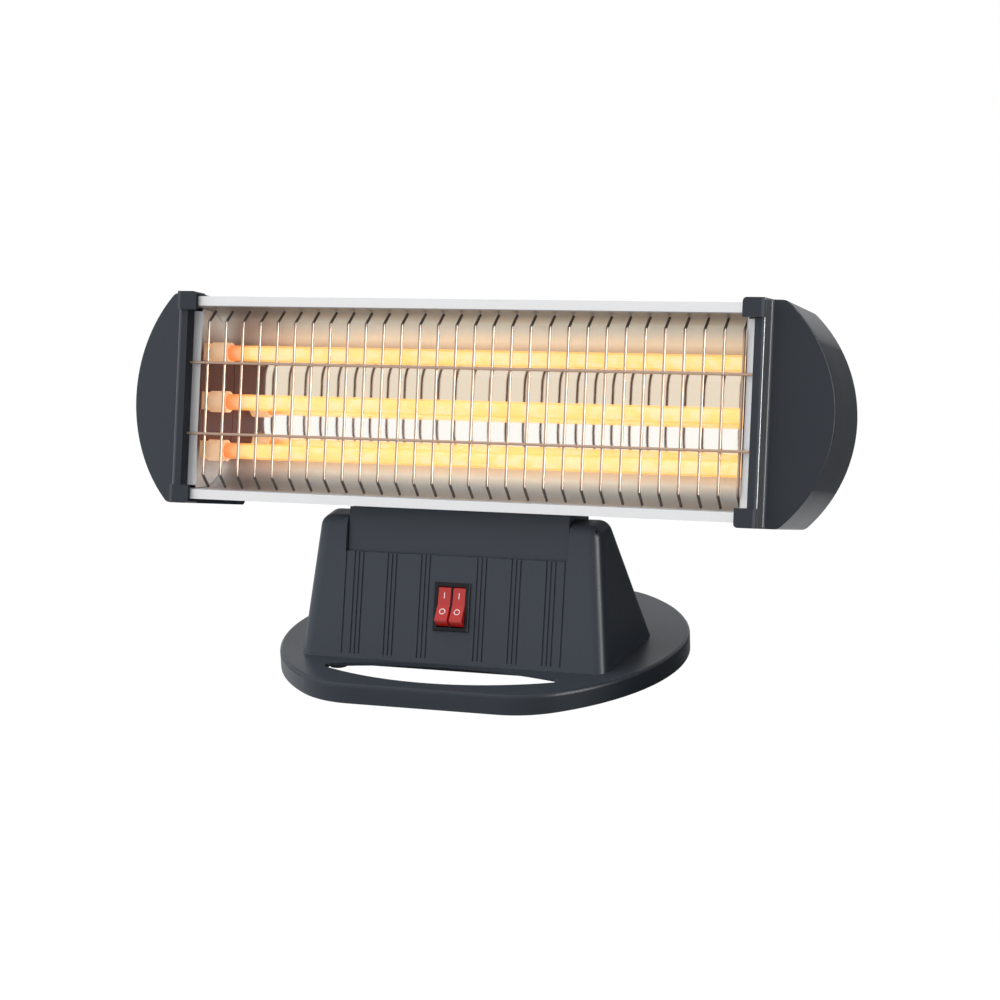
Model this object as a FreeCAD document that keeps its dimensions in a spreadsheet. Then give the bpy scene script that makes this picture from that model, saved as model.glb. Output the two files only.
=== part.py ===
import FreeCAD, Part
import math
import os

import Sketcher

# Tilting quartz heater: a round base and wedge pedestal carry a neck block, and the
# neck carries a head with a curved reflector, quartz tubes, a wire guard and D-shaped end caps.
# Frame: origin on the floor under the base's centre, +X to the heater's left-hand end as
# seen from behind it, +Y to the back, +Z up. Head pieces are drawn upright in a frame whose
# origin is the middle of the head's front plane, and leaned back by the tilt.

doc = FreeCAD.newDocument("QuartzHeater")
sheet = doc.addObject("Spreadsheet::Sheet", "Sizes")

SIZES = [
    ("overrun", 5.0),
    ("fit_gap", 0.3),
    ("running_gap", 0.05),
    ("plastic_wall", 2.5),
    ("sheet_thickness", 0.8),
    # base plate
    ("base_margin", 25.1),
    ("base_flat_inset", 17.0),
    ("base_corner_radius", 55.0),
    ("base_thickness", 12.5),
    ("base_skin", 2.2),
    ("base_edge_round", 2.5),
    ("grip_end_inset", 18.8),
    ("grip_bar_width", 12.5),
    ("grip_front_bulge", 21.5),
    ("grip_rear_bulge", 14.5),
    ("grip_end_round", 4.0),
    # feet, cover and screws under the base
    ("foot_radius", 9.0),
    ("foot_height", 3.5),
    ("foot_stand", 2.0),
    ("foot_front_inset", 33.5),
    ("foot_front_depth", 55.0),
    ("foot_rear_inset", 50.0),
    ("foot_rear_margin", 35.0),
    ("cover_inset", 42.9),
    ("cover_front", 42.0),
    ("cover_rear", 6.0),
    ("cover_thickness", 2.0),
    ("cover_ledge", 7.0),
    ("screw_radius", 1.75),
    ("screw_head_radius", 3.5),
    ("screw_head_height", 2.4),
    ("screw_length", 18.0),
    ("boss_radius", 4.5),
    ("boss_height", 16.0),
    ("boss_rib_length", 16.5),
    ("boss_front_inset", 18.3),
    ("boss_front_margin", 19.5),
    ("boss_rear_inset", 21.4),
    ("boss_rear_margin", 18.0),
    # pedestal
    ("pedestal_rear_half_width", 108.9),
    ("pedestal_splay", 6.6),
    ("pedestal_draft", 8.5),
    ("pedestal_height", 86.0),
    ("pedestal_front_depth", 67.5),
    ("pedestal_rear_depth", 22.0),
    ("pedestal_front_run", 26.2),
    ("pedestal_rear_run", 39.2),
    ("pedestal_round", 8.5),
    ("cheek_width", 19.3),
    ("slot_front_drop", 21.0),
    ("slot_rear_drop", 33.0),
    ("cheek_wall_tall", 44.0),
    ("groove_width", 1.0),
    ("groove_depth", 0.7),
    ("groove_pitch", 2.9),
    ("groove_group_pitch", 22.8),
    ("groove_group_first", 18.9),
    ("groove_edge_gap", 1.1),
    # cord bush
    ("bush_height", 15.0),
    ("bush_boss_radius", 9.5),
    ("bush_boss_reach", 2.0),
    ("bush_boss_length", 20.0),
    ("bush_hole_radius", 6.0),
    ("bush_flange_radius", 8.5),
    ("bush_flange", 2.0),
    ("bush_bore_radius", 3.6),
    # switch
    ("switch_drop", 30.514),
    ("switch_width", 23.8),
    ("switch_tall", 30.8),
    ("switch_flange", 1.6),
    ("switch_body_width", 21.0),
    ("switch_body_tall", 28.0),
    ("switch_body_depth", 15.0),
    ("rocker_width", 8.2),
    ("rocker_spacing", 9.8),
    ("rocker_crest", 3.8),
    ("rocker_saddle", 1.6),
    ("rocker_back", 5.0),
    ("rocker_pivot_depth", 3.0),
    ("rocker_side_gap", 0.3),
    ("rocker_window_tall", 25.8),
    ("rocker_pocket_depth", 12.0),
    ("rocker_pin_radius", 1.0),
    ("rocker_pin_reach", 0.4),
    ("rocker_lean", 15.0),
    ("terminal_width", 4.8),
    ("terminal_thickness", 0.8),
    ("terminal_length", 7.0),
    ("terminal_spacing", 8.0),
    # tilting neck
    ("tilt", 15.0),
    ("pivot_rear_gap", 8.588),
    ("pivot_drop", 26.3),
    ("neck_side_gap", 0.7),
    ("neck_panel_gap", 1.7),
    ("neck_rear", 9.0),
    ("neck_sweep", 33.0),
    ("neck_rise", 25.4),
    ("pivot_bolt_radius", 3.0),
    ("pivot_bolt_reach", 12.0),
    ("pivot_head_radius", 5.0),
    ("pivot_head", 4.0),
    ("washer_radius", 8.0),
    ("washer_thickness", 0.5),
    # head
    ("neck_setback", 16.988),
    ("flange_depth", 3.2),
    ("flange_top", 66.0),
    ("flange_width", 6.1),
    ("housing_shoulder_depth", 22.0),
    ("housing_back_depth", 97.0),
    ("housing_back_drop", 30.0),
    ("housing_bend", 12.0),
    ("housing_end_length", 10.5),
    ("vent_length_share", 0.115),
    ("vent_pitch_share", 0.155),
    ("vent_height", 3.0),
    ("vent_row", 18.0),
    ("reflector_end_length", 5.5),
    ("reflector_lip_drop", 1.4),
    ("reflector_mouth_drop", 0.5),
    ("reflector_shoulder_depth", 40.0),
    ("reflector_shoulder_drop", 1.8),
    ("reflector_back_gap", 35.0),
    ("reflector_back_drop", 9.0),
    ("reflector_bend", 40.0),
    ("end_plate_beyond_tube", 8.0),
    ("end_plate_front", 12.8),
    ("end_plate_drop", 0.6),
    ("end_strip_width", 7.6),
    ("tube_slot_front", 15.0),
    # tubes
    ("tube_depth", 30.0),
    ("tube_pitch_share", 0.488),
    ("tube_drop", 1.2),
    ("tube_radius", 5.3),
    ("tube_wall", 1.0),
    ("tube_half_length", 174.0),
    ("tube_overhang", 13.0),
    ("coil_radius", 3.9),
    ("coil_wall", 0.7),
    ("coil_short", 8.0),
    ("holder_radius", 7.0),
    ("holder_neck_radius", 5.9),
    ("holder_inner_length", 12.6),
    ("holder_lip_length", 0.4),
    ("holder_outer_length", 6.6),
    ("pin_radius", 1.6),
    ("pin_length", 7.0),
    # guard
    ("wire_radius", 0.9),
    ("guard_depth", 11.2),
    ("guard_bend_drop", 7.6),
    ("guard_end_depth", 20.0),
    ("guard_end_gap", 3.1),
    ("guard_shift", 2.0),
    ("cross_height_share", 0.3515),
    ("cross_seat", 2.1),
    # end caps
    ("cap_beyond_plate", 6.7),
    ("cap_rise", 3.0),
    ("cap_flat_width", 16.3),
    ("cap_bulge", 30.5),
    ("cap_corner_round", 6.0),
    ("cap_back_reach", 3.5),
    ("cap_back_round", 4.0),
    ("cap_strip_depth", 3.0),
    ("cap_strip_width", 6.3),
    ("cap_strip_round", 1.5),
    ("cap_face_round", 0.7),
    ("cap_step_run", 2.0),
    ("cap_step_depth", 13.0),
    ("cap_edge_depth", 24.0),
    ("tab_overlap", 7.2),
    ("tab_height", 11.8),
    ("tab_hook_depth", 14.0),
    ("tab_round", 2.5),
]

# Sizes that follow from others, so that a longer tube lengthens the head, a wider pedestal
# widens the base, and so on.
FOLLOWS = {
    "base_radius": lambda z: z.pedestal_rear_half_width + z.base_margin,
    "base_flat_depth": lambda z: z.base_radius - z.base_flat_inset,
    "grip_half_width": lambda z: z.pedestal_front_half_width - z.grip_end_inset,
    "grip_middle_depth": lambda z: z.base_flat_depth - z.grip_bar_width - z.grip_front_bulge,
    "foot_front_across": lambda z: z.base_radius - z.foot_front_inset,
    "foot_rear_across": lambda z: z.base_radius - z.foot_rear_inset,
    "foot_rear_depth": lambda z: z.base_flat_depth - z.foot_rear_margin,
    "cover_half_width": lambda z: z.pedestal_rear_half_width - z.cover_inset,
    "boss_front_across": lambda z: z.pedestal_front_half_width - z.boss_front_inset,
    "boss_front_depth": lambda z: z.pedestal_front_depth - z.boss_front_margin,
    "boss_rear_across": lambda z: z.pedestal_rear_half_width - z.boss_rear_inset,
    "boss_rear_depth": lambda z: z.pedestal_rear_depth - z.boss_rear_margin,
    "pedestal_front_half_width": lambda z: z.pedestal_rear_half_width - z.pedestal_splay,
    "pedestal_top_half_width": lambda z: z.pedestal_front_half_width - z.pedestal_draft,
    "slot_half_width": lambda z: z.pedestal_top_half_width - z.cheek_width,
    "slot_front_height": lambda z: z.pedestal_height - z.slot_front_drop,
    "slot_rear_height": lambda z: z.pedestal_height - z.slot_rear_drop,
    "cheek_wall_bottom": lambda z: z.pedestal_height - z.cheek_wall_tall,
    "groove_outer": lambda z: z.slot_half_width - z.groove_edge_gap,
    "bush_boss_end": lambda z: z.pedestal_rear_depth + z.bush_boss_reach,
    "switch_height": lambda z: z.slot_front_height - z.switch_drop,
    "rocker_end_radius": lambda z: z.rocker_window_tall / 2 - z.rocker_side_gap,
    "pivot_share": lambda z: (z.pedestal_height - z.pivot_drop) / z.pedestal_height,
    "rear_face_depth": lambda z: z.pedestal_rear_run * z.pivot_share - z.pedestal_rear_depth,
    "front_face_depth": lambda z: z.pedestal_front_depth - z.pedestal_front_run * z.pivot_share,
    "pivot_depth": lambda z: z.rear_face_depth + z.pivot_rear_gap,
    "neck_panel_depth": lambda z: z.front_face_depth - z.plastic_wall - z.neck_panel_gap,
    "neck_front": lambda z: z.neck_panel_depth - z.pivot_depth,
    "head_ahead": lambda z: z.neck_front + z.neck_setback,
    "pivot_height": lambda z: z.foot_stand + z.base_thickness + z.pedestal_height - z.pivot_drop,
    "neck_half_width": lambda z: z.slot_half_width - z.neck_side_gap,
    "head_rise": lambda z: z.flange_top + z.neck_rise,
    "flange_low": lambda z: z.flange_top - z.flange_width,
    "housing_back_half": lambda z: z.flange_top - z.housing_back_drop,
    "housing_half_length": lambda z: z.end_plate_place + z.housing_end_length,
    "vent_length": lambda z: z.tube_half_length * z.vent_length_share,
    "vent_pitch": lambda z: z.tube_half_length * z.vent_pitch_share,
    "reflector_half_length": lambda z: z.end_plate_place + z.reflector_end_length,
    "reflector_lip_top": lambda z: z.flange_top - z.reflector_lip_drop,
    "reflector_mouth": lambda z: z.flange_low - z.reflector_mouth_drop,
    "reflector_shoulder_half": lambda z: z.reflector_mouth - z.reflector_shoulder_drop,
    "reflector_back_depth": lambda z: z.housing_back_depth - z.reflector_back_gap,
    "reflector_back_half": lambda z: z.housing_back_half - z.reflector_back_drop,
    "end_plate_place": lambda z: z.tube_half_length + z.end_plate_beyond_tube,
    "end_plate_half": lambda z: z.reflector_shoulder_half - z.end_plate_drop,
    "tube_pitch": lambda z: z.flange_top * z.tube_pitch_share,
    "tube_right_end": lambda z: z.tube_half_length + z.tube_overhang,
    "guard_end_height": lambda z: z.reflector_shoulder_half,
    "guard_bend_height": lambda z: z.guard_end_height - z.guard_bend_drop,
    "guard_half_width": lambda z: z.end_plate_place - z.guard_end_gap,
    "cross_height": lambda z: z.flange_top * z.cross_height_share,
    "cross_reach": lambda z: z.cap_inner + z.cross_seat,
    "cap_inner": lambda z: z.end_plate_place + z.cap_beyond_plate,
    "cap_half_height": lambda z: z.flange_top + z.cap_rise,
    "cap_arc_start": lambda z: z.cap_inner + z.cap_flat_width,
    "cap_reach": lambda z: z.cap_arc_start + z.cap_bulge,
    "cap_back_depth": lambda z: z.housing_back_depth + z.cap_back_reach,
    "cap_strip_outer": lambda z: z.cap_inner + z.cap_strip_width,
    "tab_inner": lambda z: z.cap_inner - z.tab_overlap,
}

COUNTS = {"guard_wires": 30, "groove_groups": 3, "grooves_in_group": 3, "vent_slots": 12}

for row, (alias, number) in enumerate(SIZES, start=1):
    sheet.set("A%d" % row, alias)
    sheet.set("B%d" % row, str(number))
    sheet.setAlias("B%d" % row, alias)
doc.recompute()


class Size:
    """A length together with the sheet expression that drives it."""

    def __init__(self, value, text):
        self.value = value
        self.text = text

    def _join(self, other, sign, value):
        other_text = other.text if isinstance(other, Size) else repr(other)
        return Size(value, "(%s %s %s)" % (self.text, sign, other_text))

    def __add__(self, other):
        return self._join(other, "+", self.value + number_of(other))

    def __sub__(self, other):
        return self._join(other, "-", self.value - number_of(other))

    def __mul__(self, other):
        return self._join(other, "*", self.value * number_of(other))

    def __truediv__(self, other):
        return self._join(other, "/", self.value / number_of(other))

    def __neg__(self):
        return Size(-self.value, "(0 - %s)" % self.text)


def number_of(quantity):
    return quantity.value if isinstance(quantity, Size) else float(quantity)


def function_of(name, quantity):
    """A trigonometric function or square root of a sheet value; angles are in degrees."""
    functions = {
        "sin": lambda angle: math.sin(math.radians(angle)),
        "cos": lambda angle: math.cos(math.radians(angle)),
        "sqrt": math.sqrt,
    }
    return Size(functions[name](quantity.value), "%s(%s)" % (name, quantity.text))


class Sizes:
    """Sizes of the sheet by name, as driven lengths."""

    def __getattr__(self, alias):
        if alias in FOLLOWS:
            return FOLLOWS[alias](self)
        return Size(float(sheet.get(alias)), "Sizes." + alias)


class Numbers:
    """Sizes of the sheet by name, as plain numbers for shapes that code builds."""

    def __getattr__(self, alias):
        return FOLLOWS[alias](self) if alias in FOLLOWS else float(sheet.get(alias))


s = Sizes()
v = Numbers()
nodes = []


def drive(thing, **properties):
    for name, quantity in properties.items():
        thing.setExpression(name.replace("__", "."), quantity.text)


def keep(thing, label):
    thing.Label = label
    nodes.append(thing)
    return thing


def place(thing, x=None, y=None, z=None):
    for axis, quantity in (("x", x), ("y", y), ("z", z)):
        if quantity is not None:
            thing.setExpression("Placement.Base." + axis, quantity.text)


def cylinder(name, radius, height, direction=(0, 0, 1), x=None, y=None, z=None):
    rod = doc.addObject("Part::Cylinder", name)
    drive(rod, Radius=radius, Height=height)
    rod.Placement.Rotation = FreeCAD.Rotation(FreeCAD.Vector(0, 0, 1), FreeCAD.Vector(*direction))
    place(rod, x, y, z)
    return rod


def box(name, length, width, height, x=None, y=None, z=None):
    block = doc.addObject("Part::Box", name)
    drive(block, Length=length, Width=width, Height=height)
    place(block, x, y, z)
    return block


def cut(name, base, tool):
    result = doc.addObject("Part::Cut", name)
    result.Base = base
    result.Tool = tool
    return result


def fuse(name, shapes):
    result = doc.addObject("Part::MultiFuse", name)
    result.Shapes = shapes
    return result


def group(name, shapes):
    result = doc.addObject("Part::Compound", name)
    result.Links = shapes
    return result


def new_body(name):
    return doc.addObject("PartDesign::Body", name)


def origin_plane(body, role):
    return next(feature for feature in body.Origin.OriginFeatures if feature.Role == role)


def arc_centre(start, end, radius, side):
    """Centre of the arc of this radius from start to end, left (1) or right (-1) of the chord."""
    middle = (start + end) * 0.5
    chord = end - start
    rise = math.sqrt(max(radius ** 2 - chord.Length ** 2 / 4.0, 0.0))
    left = FreeCAD.Vector(-chord.y, chord.x, 0).normalize()
    return middle + left * rise * side


def outline(body, name, role, corners, arcs=None, lift=None):
    """A closed sketch on an origin plane. arcs maps a side's number to (radius, centre side)."""
    arcs = arcs or {}
    sketch = body.newObject("Sketcher::SketchObject", name)
    sketch.AttachmentSupport = (origin_plane(body, role), "")
    sketch.MapMode = "FlatFace"
    if lift is not None:
        sketch.setExpression("AttachmentOffset.Base.z", lift.text)
    points = [FreeCAD.Vector(number_of(a), number_of(b), 0) for a, b in corners]
    reverse = {}
    for side, start in enumerate(points):
        end = points[(side + 1) % len(points)]
        if side in arcs:
            radius, turn = arcs[side]
            centre = arc_centre(start, end, radius.value, turn)
            first = math.atan2(start.y - centre.y, start.x - centre.x)
            last = math.atan2(end.y - centre.y, end.x - centre.x)
            reverse[side] = turn < 0
            if reverse[side]:
                first, last = last, first
            circle = Part.Circle(centre, FreeCAD.Vector(0, 0, 1), radius.value)
            sketch.addGeometry(Part.ArcOfCircle(circle, first, last))
        else:
            sketch.addGeometry(Part.LineSegment(start, end))
    for side in range(len(points)):
        following = (side + 1) % len(points)
        end_mark = 1 if reverse.get(side) else 2
        start_mark = 2 if reverse.get(following) else 1
        sketch.addConstraint(Sketcher.Constraint("Coincident", side, end_mark, following, start_mark))
    for side, (across, up) in enumerate(corners):
        mark = 2 if reverse.get(side) else 1
        for kind, quantity, axis in (("DistanceX", across, -2), ("DistanceY", up, -1)):
            if isinstance(quantity, Size):
                rule = Sketcher.Constraint(kind, -1, 1, side, mark, quantity.value)
                sketch.setExpression("Constraints[%d]" % sketch.addConstraint(rule), quantity.text)
            else:
                sketch.addConstraint(Sketcher.Constraint("PointOnObject", side, mark, axis))
        if side in arcs:
            rule = Sketcher.Constraint("Radius", side, arcs[side][0].value)
            sketch.setExpression("Constraints[%d]" % sketch.addConstraint(rule), arcs[side][0].text)
    return sketch


def pad(body, name, sketch, length, both_ways=False, reversed_way=False):
    feature = body.newObject("PartDesign::Pad", name)
    feature.Profile = sketch
    feature.setExpression("Length", length.text)
    feature.Midplane = both_ways
    feature.Reversed = reversed_way
    return feature


def pocket(body, name, sketch, length, both_ways=False, reversed_way=False):
    feature = body.newObject("PartDesign::Pocket", name)
    feature.Profile = sketch
    feature.setExpression("Length", length.text)
    feature.Midplane = both_ways
    feature.Reversed = reversed_way
    return feature


def edges_where(feature, test):
    """Names of a feature's edges whose middle point passes the test."""
    doc.recompute()
    names = []
    for number, edge in enumerate(feature.Shape.Edges, start=1):
        middle = edge.valueAt((edge.FirstParameter + edge.LastParameter) / 2.0)
        if test(middle, edge):
            names.append("Edge%d" % number)
    return names


def fillet(body, name, base, test, radius):
    names = edges_where(base, test)
    feature = body.newObject("PartDesign::Fillet", name)
    feature.Base = (base, names)
    feature.setExpression("Radius", radius.text)
    return feature


def near(a, b):
    return abs(a - b) < v.fit_gap


def rectangle(across_low, across_high, up_low, up_high):
    return [(across_low, up_low), (across_high, up_low), (across_high, up_high), (across_low, up_high)]


base_bottom = s.foot_stand
base_top = s.foot_stand + s.base_thickness


def base_outline(body, name, inset):
    """Outline of the round base, flattened front and back, moved inwards by the inset."""
    inner = s.base_flat_depth - s.base_corner_radius
    reach = s.base_radius - s.base_corner_radius
    corner_x = function_of("sqrt", reach * reach - inner * inner)
    meet_x = corner_x * (s.base_radius - inset) / reach
    meet_y = inner * (s.base_radius - inset) / reach
    flat = s.base_flat_depth - inset
    corners = [
        (-corner_x, -flat), (corner_x, -flat), (meet_x, -meet_y), (meet_x, meet_y),
        (corner_x, flat), (-corner_x, flat), (-meet_x, meet_y), (-meet_x, -meet_y),
    ]
    corner = (s.base_corner_radius - inset, 1)
    flank = (s.base_radius - inset, 1)
    arcs = {1: corner, 2: flank, 3: corner, 5: corner, 6: flank, 7: corner}
    return outline(body, name, "XY_Plane", corners, arcs, base_bottom)


def base_hollow():
    """The space under the base's skin: it leaves the grip bar, the cover's frame and the pads solid."""
    body = new_body("BaseHollow")
    sketch = base_outline(body, "HollowOutline", s.plastic_wall)
    pad(body, "HollowPad", sketch, s.base_thickness - s.base_skin)
    doc.recompute()
    tall = s.base_thickness * 2
    islands = [
        box(
            "GripBar", s.base_radius * 2, s.base_flat_depth - s.grip_middle_depth, tall,
            -s.base_radius, -s.base_flat_depth,
        ),
        box(
            "CoverFrame", (s.cover_half_width + s.plastic_wall) * 2,
            s.cover_front + s.cover_rear + s.plastic_wall * 2, tall,
            -s.cover_half_width - s.plastic_wall, -s.cover_front - s.plastic_wall,
        ),
    ]
    for across, depth in foot_places():
        islands.append(cylinder("FootPad", s.foot_radius + s.plastic_wall, tall, x=across, y=depth))
    for across, depth in boss_places():
        islands.append(cylinder("ScrewPad", s.screw_head_radius + s.plastic_wall, tall, x=across, y=depth))
    return cut("BaseHollowed", body, fuse("BaseIslands", islands))


def make_base_plate():
    """Round moulded plate with a skirt, hollow below, with a lens-shaped finger opening."""
    body = new_body("BasePlate")
    sketch = base_outline(body, "BaseOutline", s.base_radius * 0.0)
    pad(body, "BasePad", sketch, s.base_thickness)

    def bulge_radius(bulge):
        return (s.grip_half_width * s.grip_half_width + bulge * bulge) / (bulge * 2)

    front_radius = bulge_radius(s.grip_front_bulge)
    rear_radius = bulge_radius(s.grip_rear_bulge)
    lens = [(-s.grip_half_width, -s.grip_middle_depth), (s.grip_half_width, -s.grip_middle_depth)]
    lens_arcs = {0: (front_radius, 1), 1: (rear_radius, 1)}
    grip = outline(body, "GripOutline", "XY_Plane", lens, lens_arcs, base_bottom)
    opening = pocket(body, "GripOpening", grip, s.base_thickness, reversed_way=True)

    def grip_end(middle, edge):
        return near(abs(middle.x), v.grip_half_width) and near(middle.y, -v.grip_middle_depth)

    fillet(body, "GripEnds", opening, grip_end, s.grip_end_round)
    ledge = outline(
        body, "CoverLedge", "XY_Plane",
        rectangle(-s.cover_half_width, s.cover_half_width, -s.cover_front, s.cover_rear),
        lift=base_bottom,
    )
    pocket(body, "CoverSeat", ledge, s.cover_thickness, reversed_way=True)
    window = outline(
        body, "WiringWindow", "XY_Plane",
        rectangle(
            s.cover_ledge - s.cover_half_width, s.cover_half_width - s.cover_ledge,
            s.cover_ledge - s.cover_front, s.cover_rear - s.cover_ledge,
        ),
        lift=base_bottom,
    )
    pocket(body, "WiringHole", window, s.base_thickness, reversed_way=True)
    doc.recompute()

    def top_edge(middle, edge):
        outside = math.hypot(middle.x, middle.y) > v.base_flat_depth - v.fit_gap
        return near(middle.z, base_top.value) and outside

    fillet(body, "BaseRound", body.Tip, top_edge, s.base_edge_round)
    doc.recompute()
    holes = [base_hollow()]
    for across, depth in foot_places():
        recess = cylinder("FootRecess", s.foot_radius + s.fit_gap, s.foot_height, x=across, y=depth)
        holes.append(recess)
    for across, depth in boss_places():
        holes.append(cylinder(
            "ScrewHole", s.screw_radius + s.fit_gap, s.base_thickness * 2, x=across, y=depth,
        ))
        holes.append(cylinder(
            "ScrewSink", s.screw_head_radius + s.fit_gap, s.foot_stand + s.screw_head_height,
            x=across, y=depth,
        ))
    for across, depth in cover_screw_places():
        holes.append(cylinder(
            "CoverScrewHole", s.screw_radius + s.running_gap, s.base_thickness - s.cover_thickness,
            x=across, y=depth, z=s.foot_stand,
        ))
    return keep(cut("BasePlateDrilled", body, fuse("BaseHoles", holes)), "base_plate")


def mirrored_pair(across, depth):
    return [(across, depth), (-across, depth)]


def foot_places():
    front = mirrored_pair(s.foot_front_across, -s.foot_front_depth)
    return front + mirrored_pair(s.foot_rear_across, s.foot_rear_depth)


def boss_places():
    front = mirrored_pair(s.boss_front_across, -s.boss_front_depth)
    return front + mirrored_pair(s.boss_rear_across, s.boss_rear_depth)


def cover_screw_places():
    middle = (s.cover_rear - s.cover_front) / 2
    return mirrored_pair(s.cover_half_width - s.cover_ledge / 2, middle)


def make_feet():
    feet = [cylinder("Foot", s.foot_radius, s.foot_height, x=across, y=depth)
            for across, depth in foot_places()]
    return keep(group("RubberFeet", feet), "rubber_feet")


def screw(head_bottom, across, depth, length):
    head = cylinder("ScrewHead", s.screw_head_radius, s.screw_head_height, x=across, y=depth, z=head_bottom)
    shank = cylinder(
        "ScrewShank", s.screw_radius, length + s.screw_head_height, x=across, y=depth, z=head_bottom,
    )
    return fuse("Screw", [head, shank])


def make_base_screws():
    screws = [screw(s.foot_stand, across, depth, s.screw_length) for across, depth in boss_places()]
    return keep(group("BaseScrews", screws), "base_screws")


def make_bottom_cover():
    """Flat cover over the wiring window, with two screw holes."""
    plate = box(
        "CoverPlate", (s.cover_half_width - s.fit_gap) * 2,
        s.cover_front + s.cover_rear - s.fit_gap * 2, s.cover_thickness,
        s.fit_gap - s.cover_half_width, s.fit_gap - s.cover_front, base_bottom,
    )
    holes = [cylinder("CoverHole", s.screw_radius + s.running_gap, s.base_thickness, x=across, y=depth)
             for across, depth in cover_screw_places()]
    keep(cut("BottomCover", plate, fuse("CoverHoles", holes)), "bottom_cover")
    heads = []
    for across, depth in cover_screw_places():
        head = cylinder(
            "CoverScrewHead", s.screw_head_radius, s.washer_thickness, x=across, y=depth,
            z=base_bottom - s.washer_thickness,
        )
        shank = cylinder(
            "CoverScrewShank", s.screw_radius, s.base_thickness - s.cover_thickness, x=across, y=depth,
            z=base_bottom - s.washer_thickness,
        )
        heads.append(fuse("CoverScrew", [head, shank]))
    keep(group("CoverScrews", heads), "cover_screws")


def pedestal_front_depth_at(height):
    return s.pedestal_front_depth - s.pedestal_front_run * height / s.pedestal_height


def front_lean():
    return math.degrees(math.atan2(v.pedestal_front_run, v.pedestal_height))


def pedestal_section(height, inset):
    """Corners of the pedestal's level section at a height, moved inwards by the inset."""
    rise = height / v.pedestal_height
    front = inset - pedestal_front_depth_at(s.pedestal_height * rise).value
    rear = v.pedestal_rear_depth - v.pedestal_rear_run * rise - inset
    spread = v.pedestal_rear_half_width - v.pedestal_front_half_width
    splay = spread / (v.pedestal_front_depth + v.pedestal_rear_depth)
    lean = v.pedestal_front_half_width - v.pedestal_top_half_width + splay * v.pedestal_front_run

    def half_width(depth):
        return v.pedestal_front_half_width + splay * (depth + v.pedestal_front_depth) - lean * rise - inset

    level = base_top.value + height
    plan = [
        (-half_width(front), front), (half_width(front), front),
        (half_width(rear), rear), (-half_width(rear), rear),
    ]
    return [FreeCAD.Vector(x, y, level) for x, y in plan]


def pedestal_wedge(inset, low, high):
    """The pedestal's wedge between two heights, with flat leaning sides."""
    lower = pedestal_section(low, inset)
    upper = pedestal_section(high, inset)
    loops = [lower[::-1], upper]
    for side in range(len(lower)):
        following = (side + 1) % len(lower)
        loops.append([lower[side], lower[following], upper[following], upper[side]])
    faces = [Part.Face(Part.makePolygon(loop + loop[:1])) for loop in loops]
    return Part.Solid(Part.Shell(faces))


def make_pedestal():
    """Hollow wedge moulding: cheeks either side of the neck's slot, grooved front panel."""
    wall = v.plastic_wall
    outside = pedestal_wedge(0, 0, v.pedestal_height)
    level = base_top.value + v.fit_gap
    raised = [edge for edge in outside.Edges if edge.CenterOfMass.z > level]
    shell = outside.makeFillet(v.pedestal_round, raised)
    shell = shell.cut(pedestal_wedge(wall, 0, v.pedestal_height - wall))
    core = pedestal_wedge(wall / 2, v.cheek_wall_bottom, v.pedestal_height - wall / 2)
    for side in (-1, 1):
        slab = upright_box(
            wall, v.pedestal_front_depth * 2, v.pedestal_height * 4,
            x=side * (v.slot_half_width + wall / 2), y=-v.pedestal_front_depth,
        )
        shell = shell.fuse(core.common(slab))
    ledge_end = -v.pivot_depth - v.neck_front / 2
    front_ledge = base_top.value + v.slot_front_height
    rear_ledge = base_top.value + v.slot_rear_height
    high = base_top.value + v.pedestal_height + v.overrun
    section = [
        (-v.pedestal_front_depth, front_ledge), (ledge_end, front_ledge), (ledge_end, rear_ledge),
        (v.pedestal_rear_depth, rear_ledge), (v.pedestal_rear_depth, high), (-v.pedestal_front_depth, high),
    ]
    points = [FreeCAD.Vector(-v.slot_half_width, y, z) for y, z in section]
    slot_side = Part.Face(Part.makePolygon(points + points[:1]))
    slot = slot_side.extrude(FreeCAD.Vector(2 * v.slot_half_width, 0, 0))
    body = doc.addObject("Part::Feature", "PedestalShell")
    body.Shape = shell.cut(slot).removeSplitter()
    doc.recompute()
    bosses = []
    for across, depth in boss_places():
        bosses.append(cylinder("ScrewBoss", s.boss_radius, s.boss_height, x=across, y=depth, z=base_top))
        rib_start = across if across.value > 0 else across - s.boss_rib_length
        bosses.append(box(
            "BossRib", s.boss_rib_length, s.plastic_wall, s.boss_height,
            rib_start, depth - s.plastic_wall / 2, base_top,
        ))
    spigot = cylinder(
        "BushBoss", s.bush_boss_radius, s.bush_boss_length, (0, 1, 0),
        y=s.bush_boss_end - s.bush_boss_length, z=base_top + s.bush_height,
    )
    solid = fuse("PedestalSolid", [body] + bosses + [spigot])
    holes = [
        cylinder(
            "BushHole", s.bush_hole_radius, s.bush_boss_length + s.overrun * 2, (0, 1, 0),
            y=s.bush_boss_end - s.bush_boss_length - s.overrun, z=base_top + s.bush_height,
        ),
        cylinder(
            "PivotHole", s.pivot_bolt_radius + s.running_gap, (s.slot_half_width + s.overrun) * 2, (1, 0, 0),
            x=-s.slot_half_width - s.overrun, y=-s.pivot_depth, z=s.pivot_height,
        ),
        switch_cutout(),
    ]
    for across, depth in boss_places():
        holes.append(cylinder(
            "BossBore", s.screw_radius + s.running_gap, s.boss_height - s.plastic_wall,
            x=across, y=depth, z=base_top,
        ))
    holes += groove_tools()
    return keep(cut("PedestalDrilled", solid, fuse("PedestalHoles", holes)), "pedestal")


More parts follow.
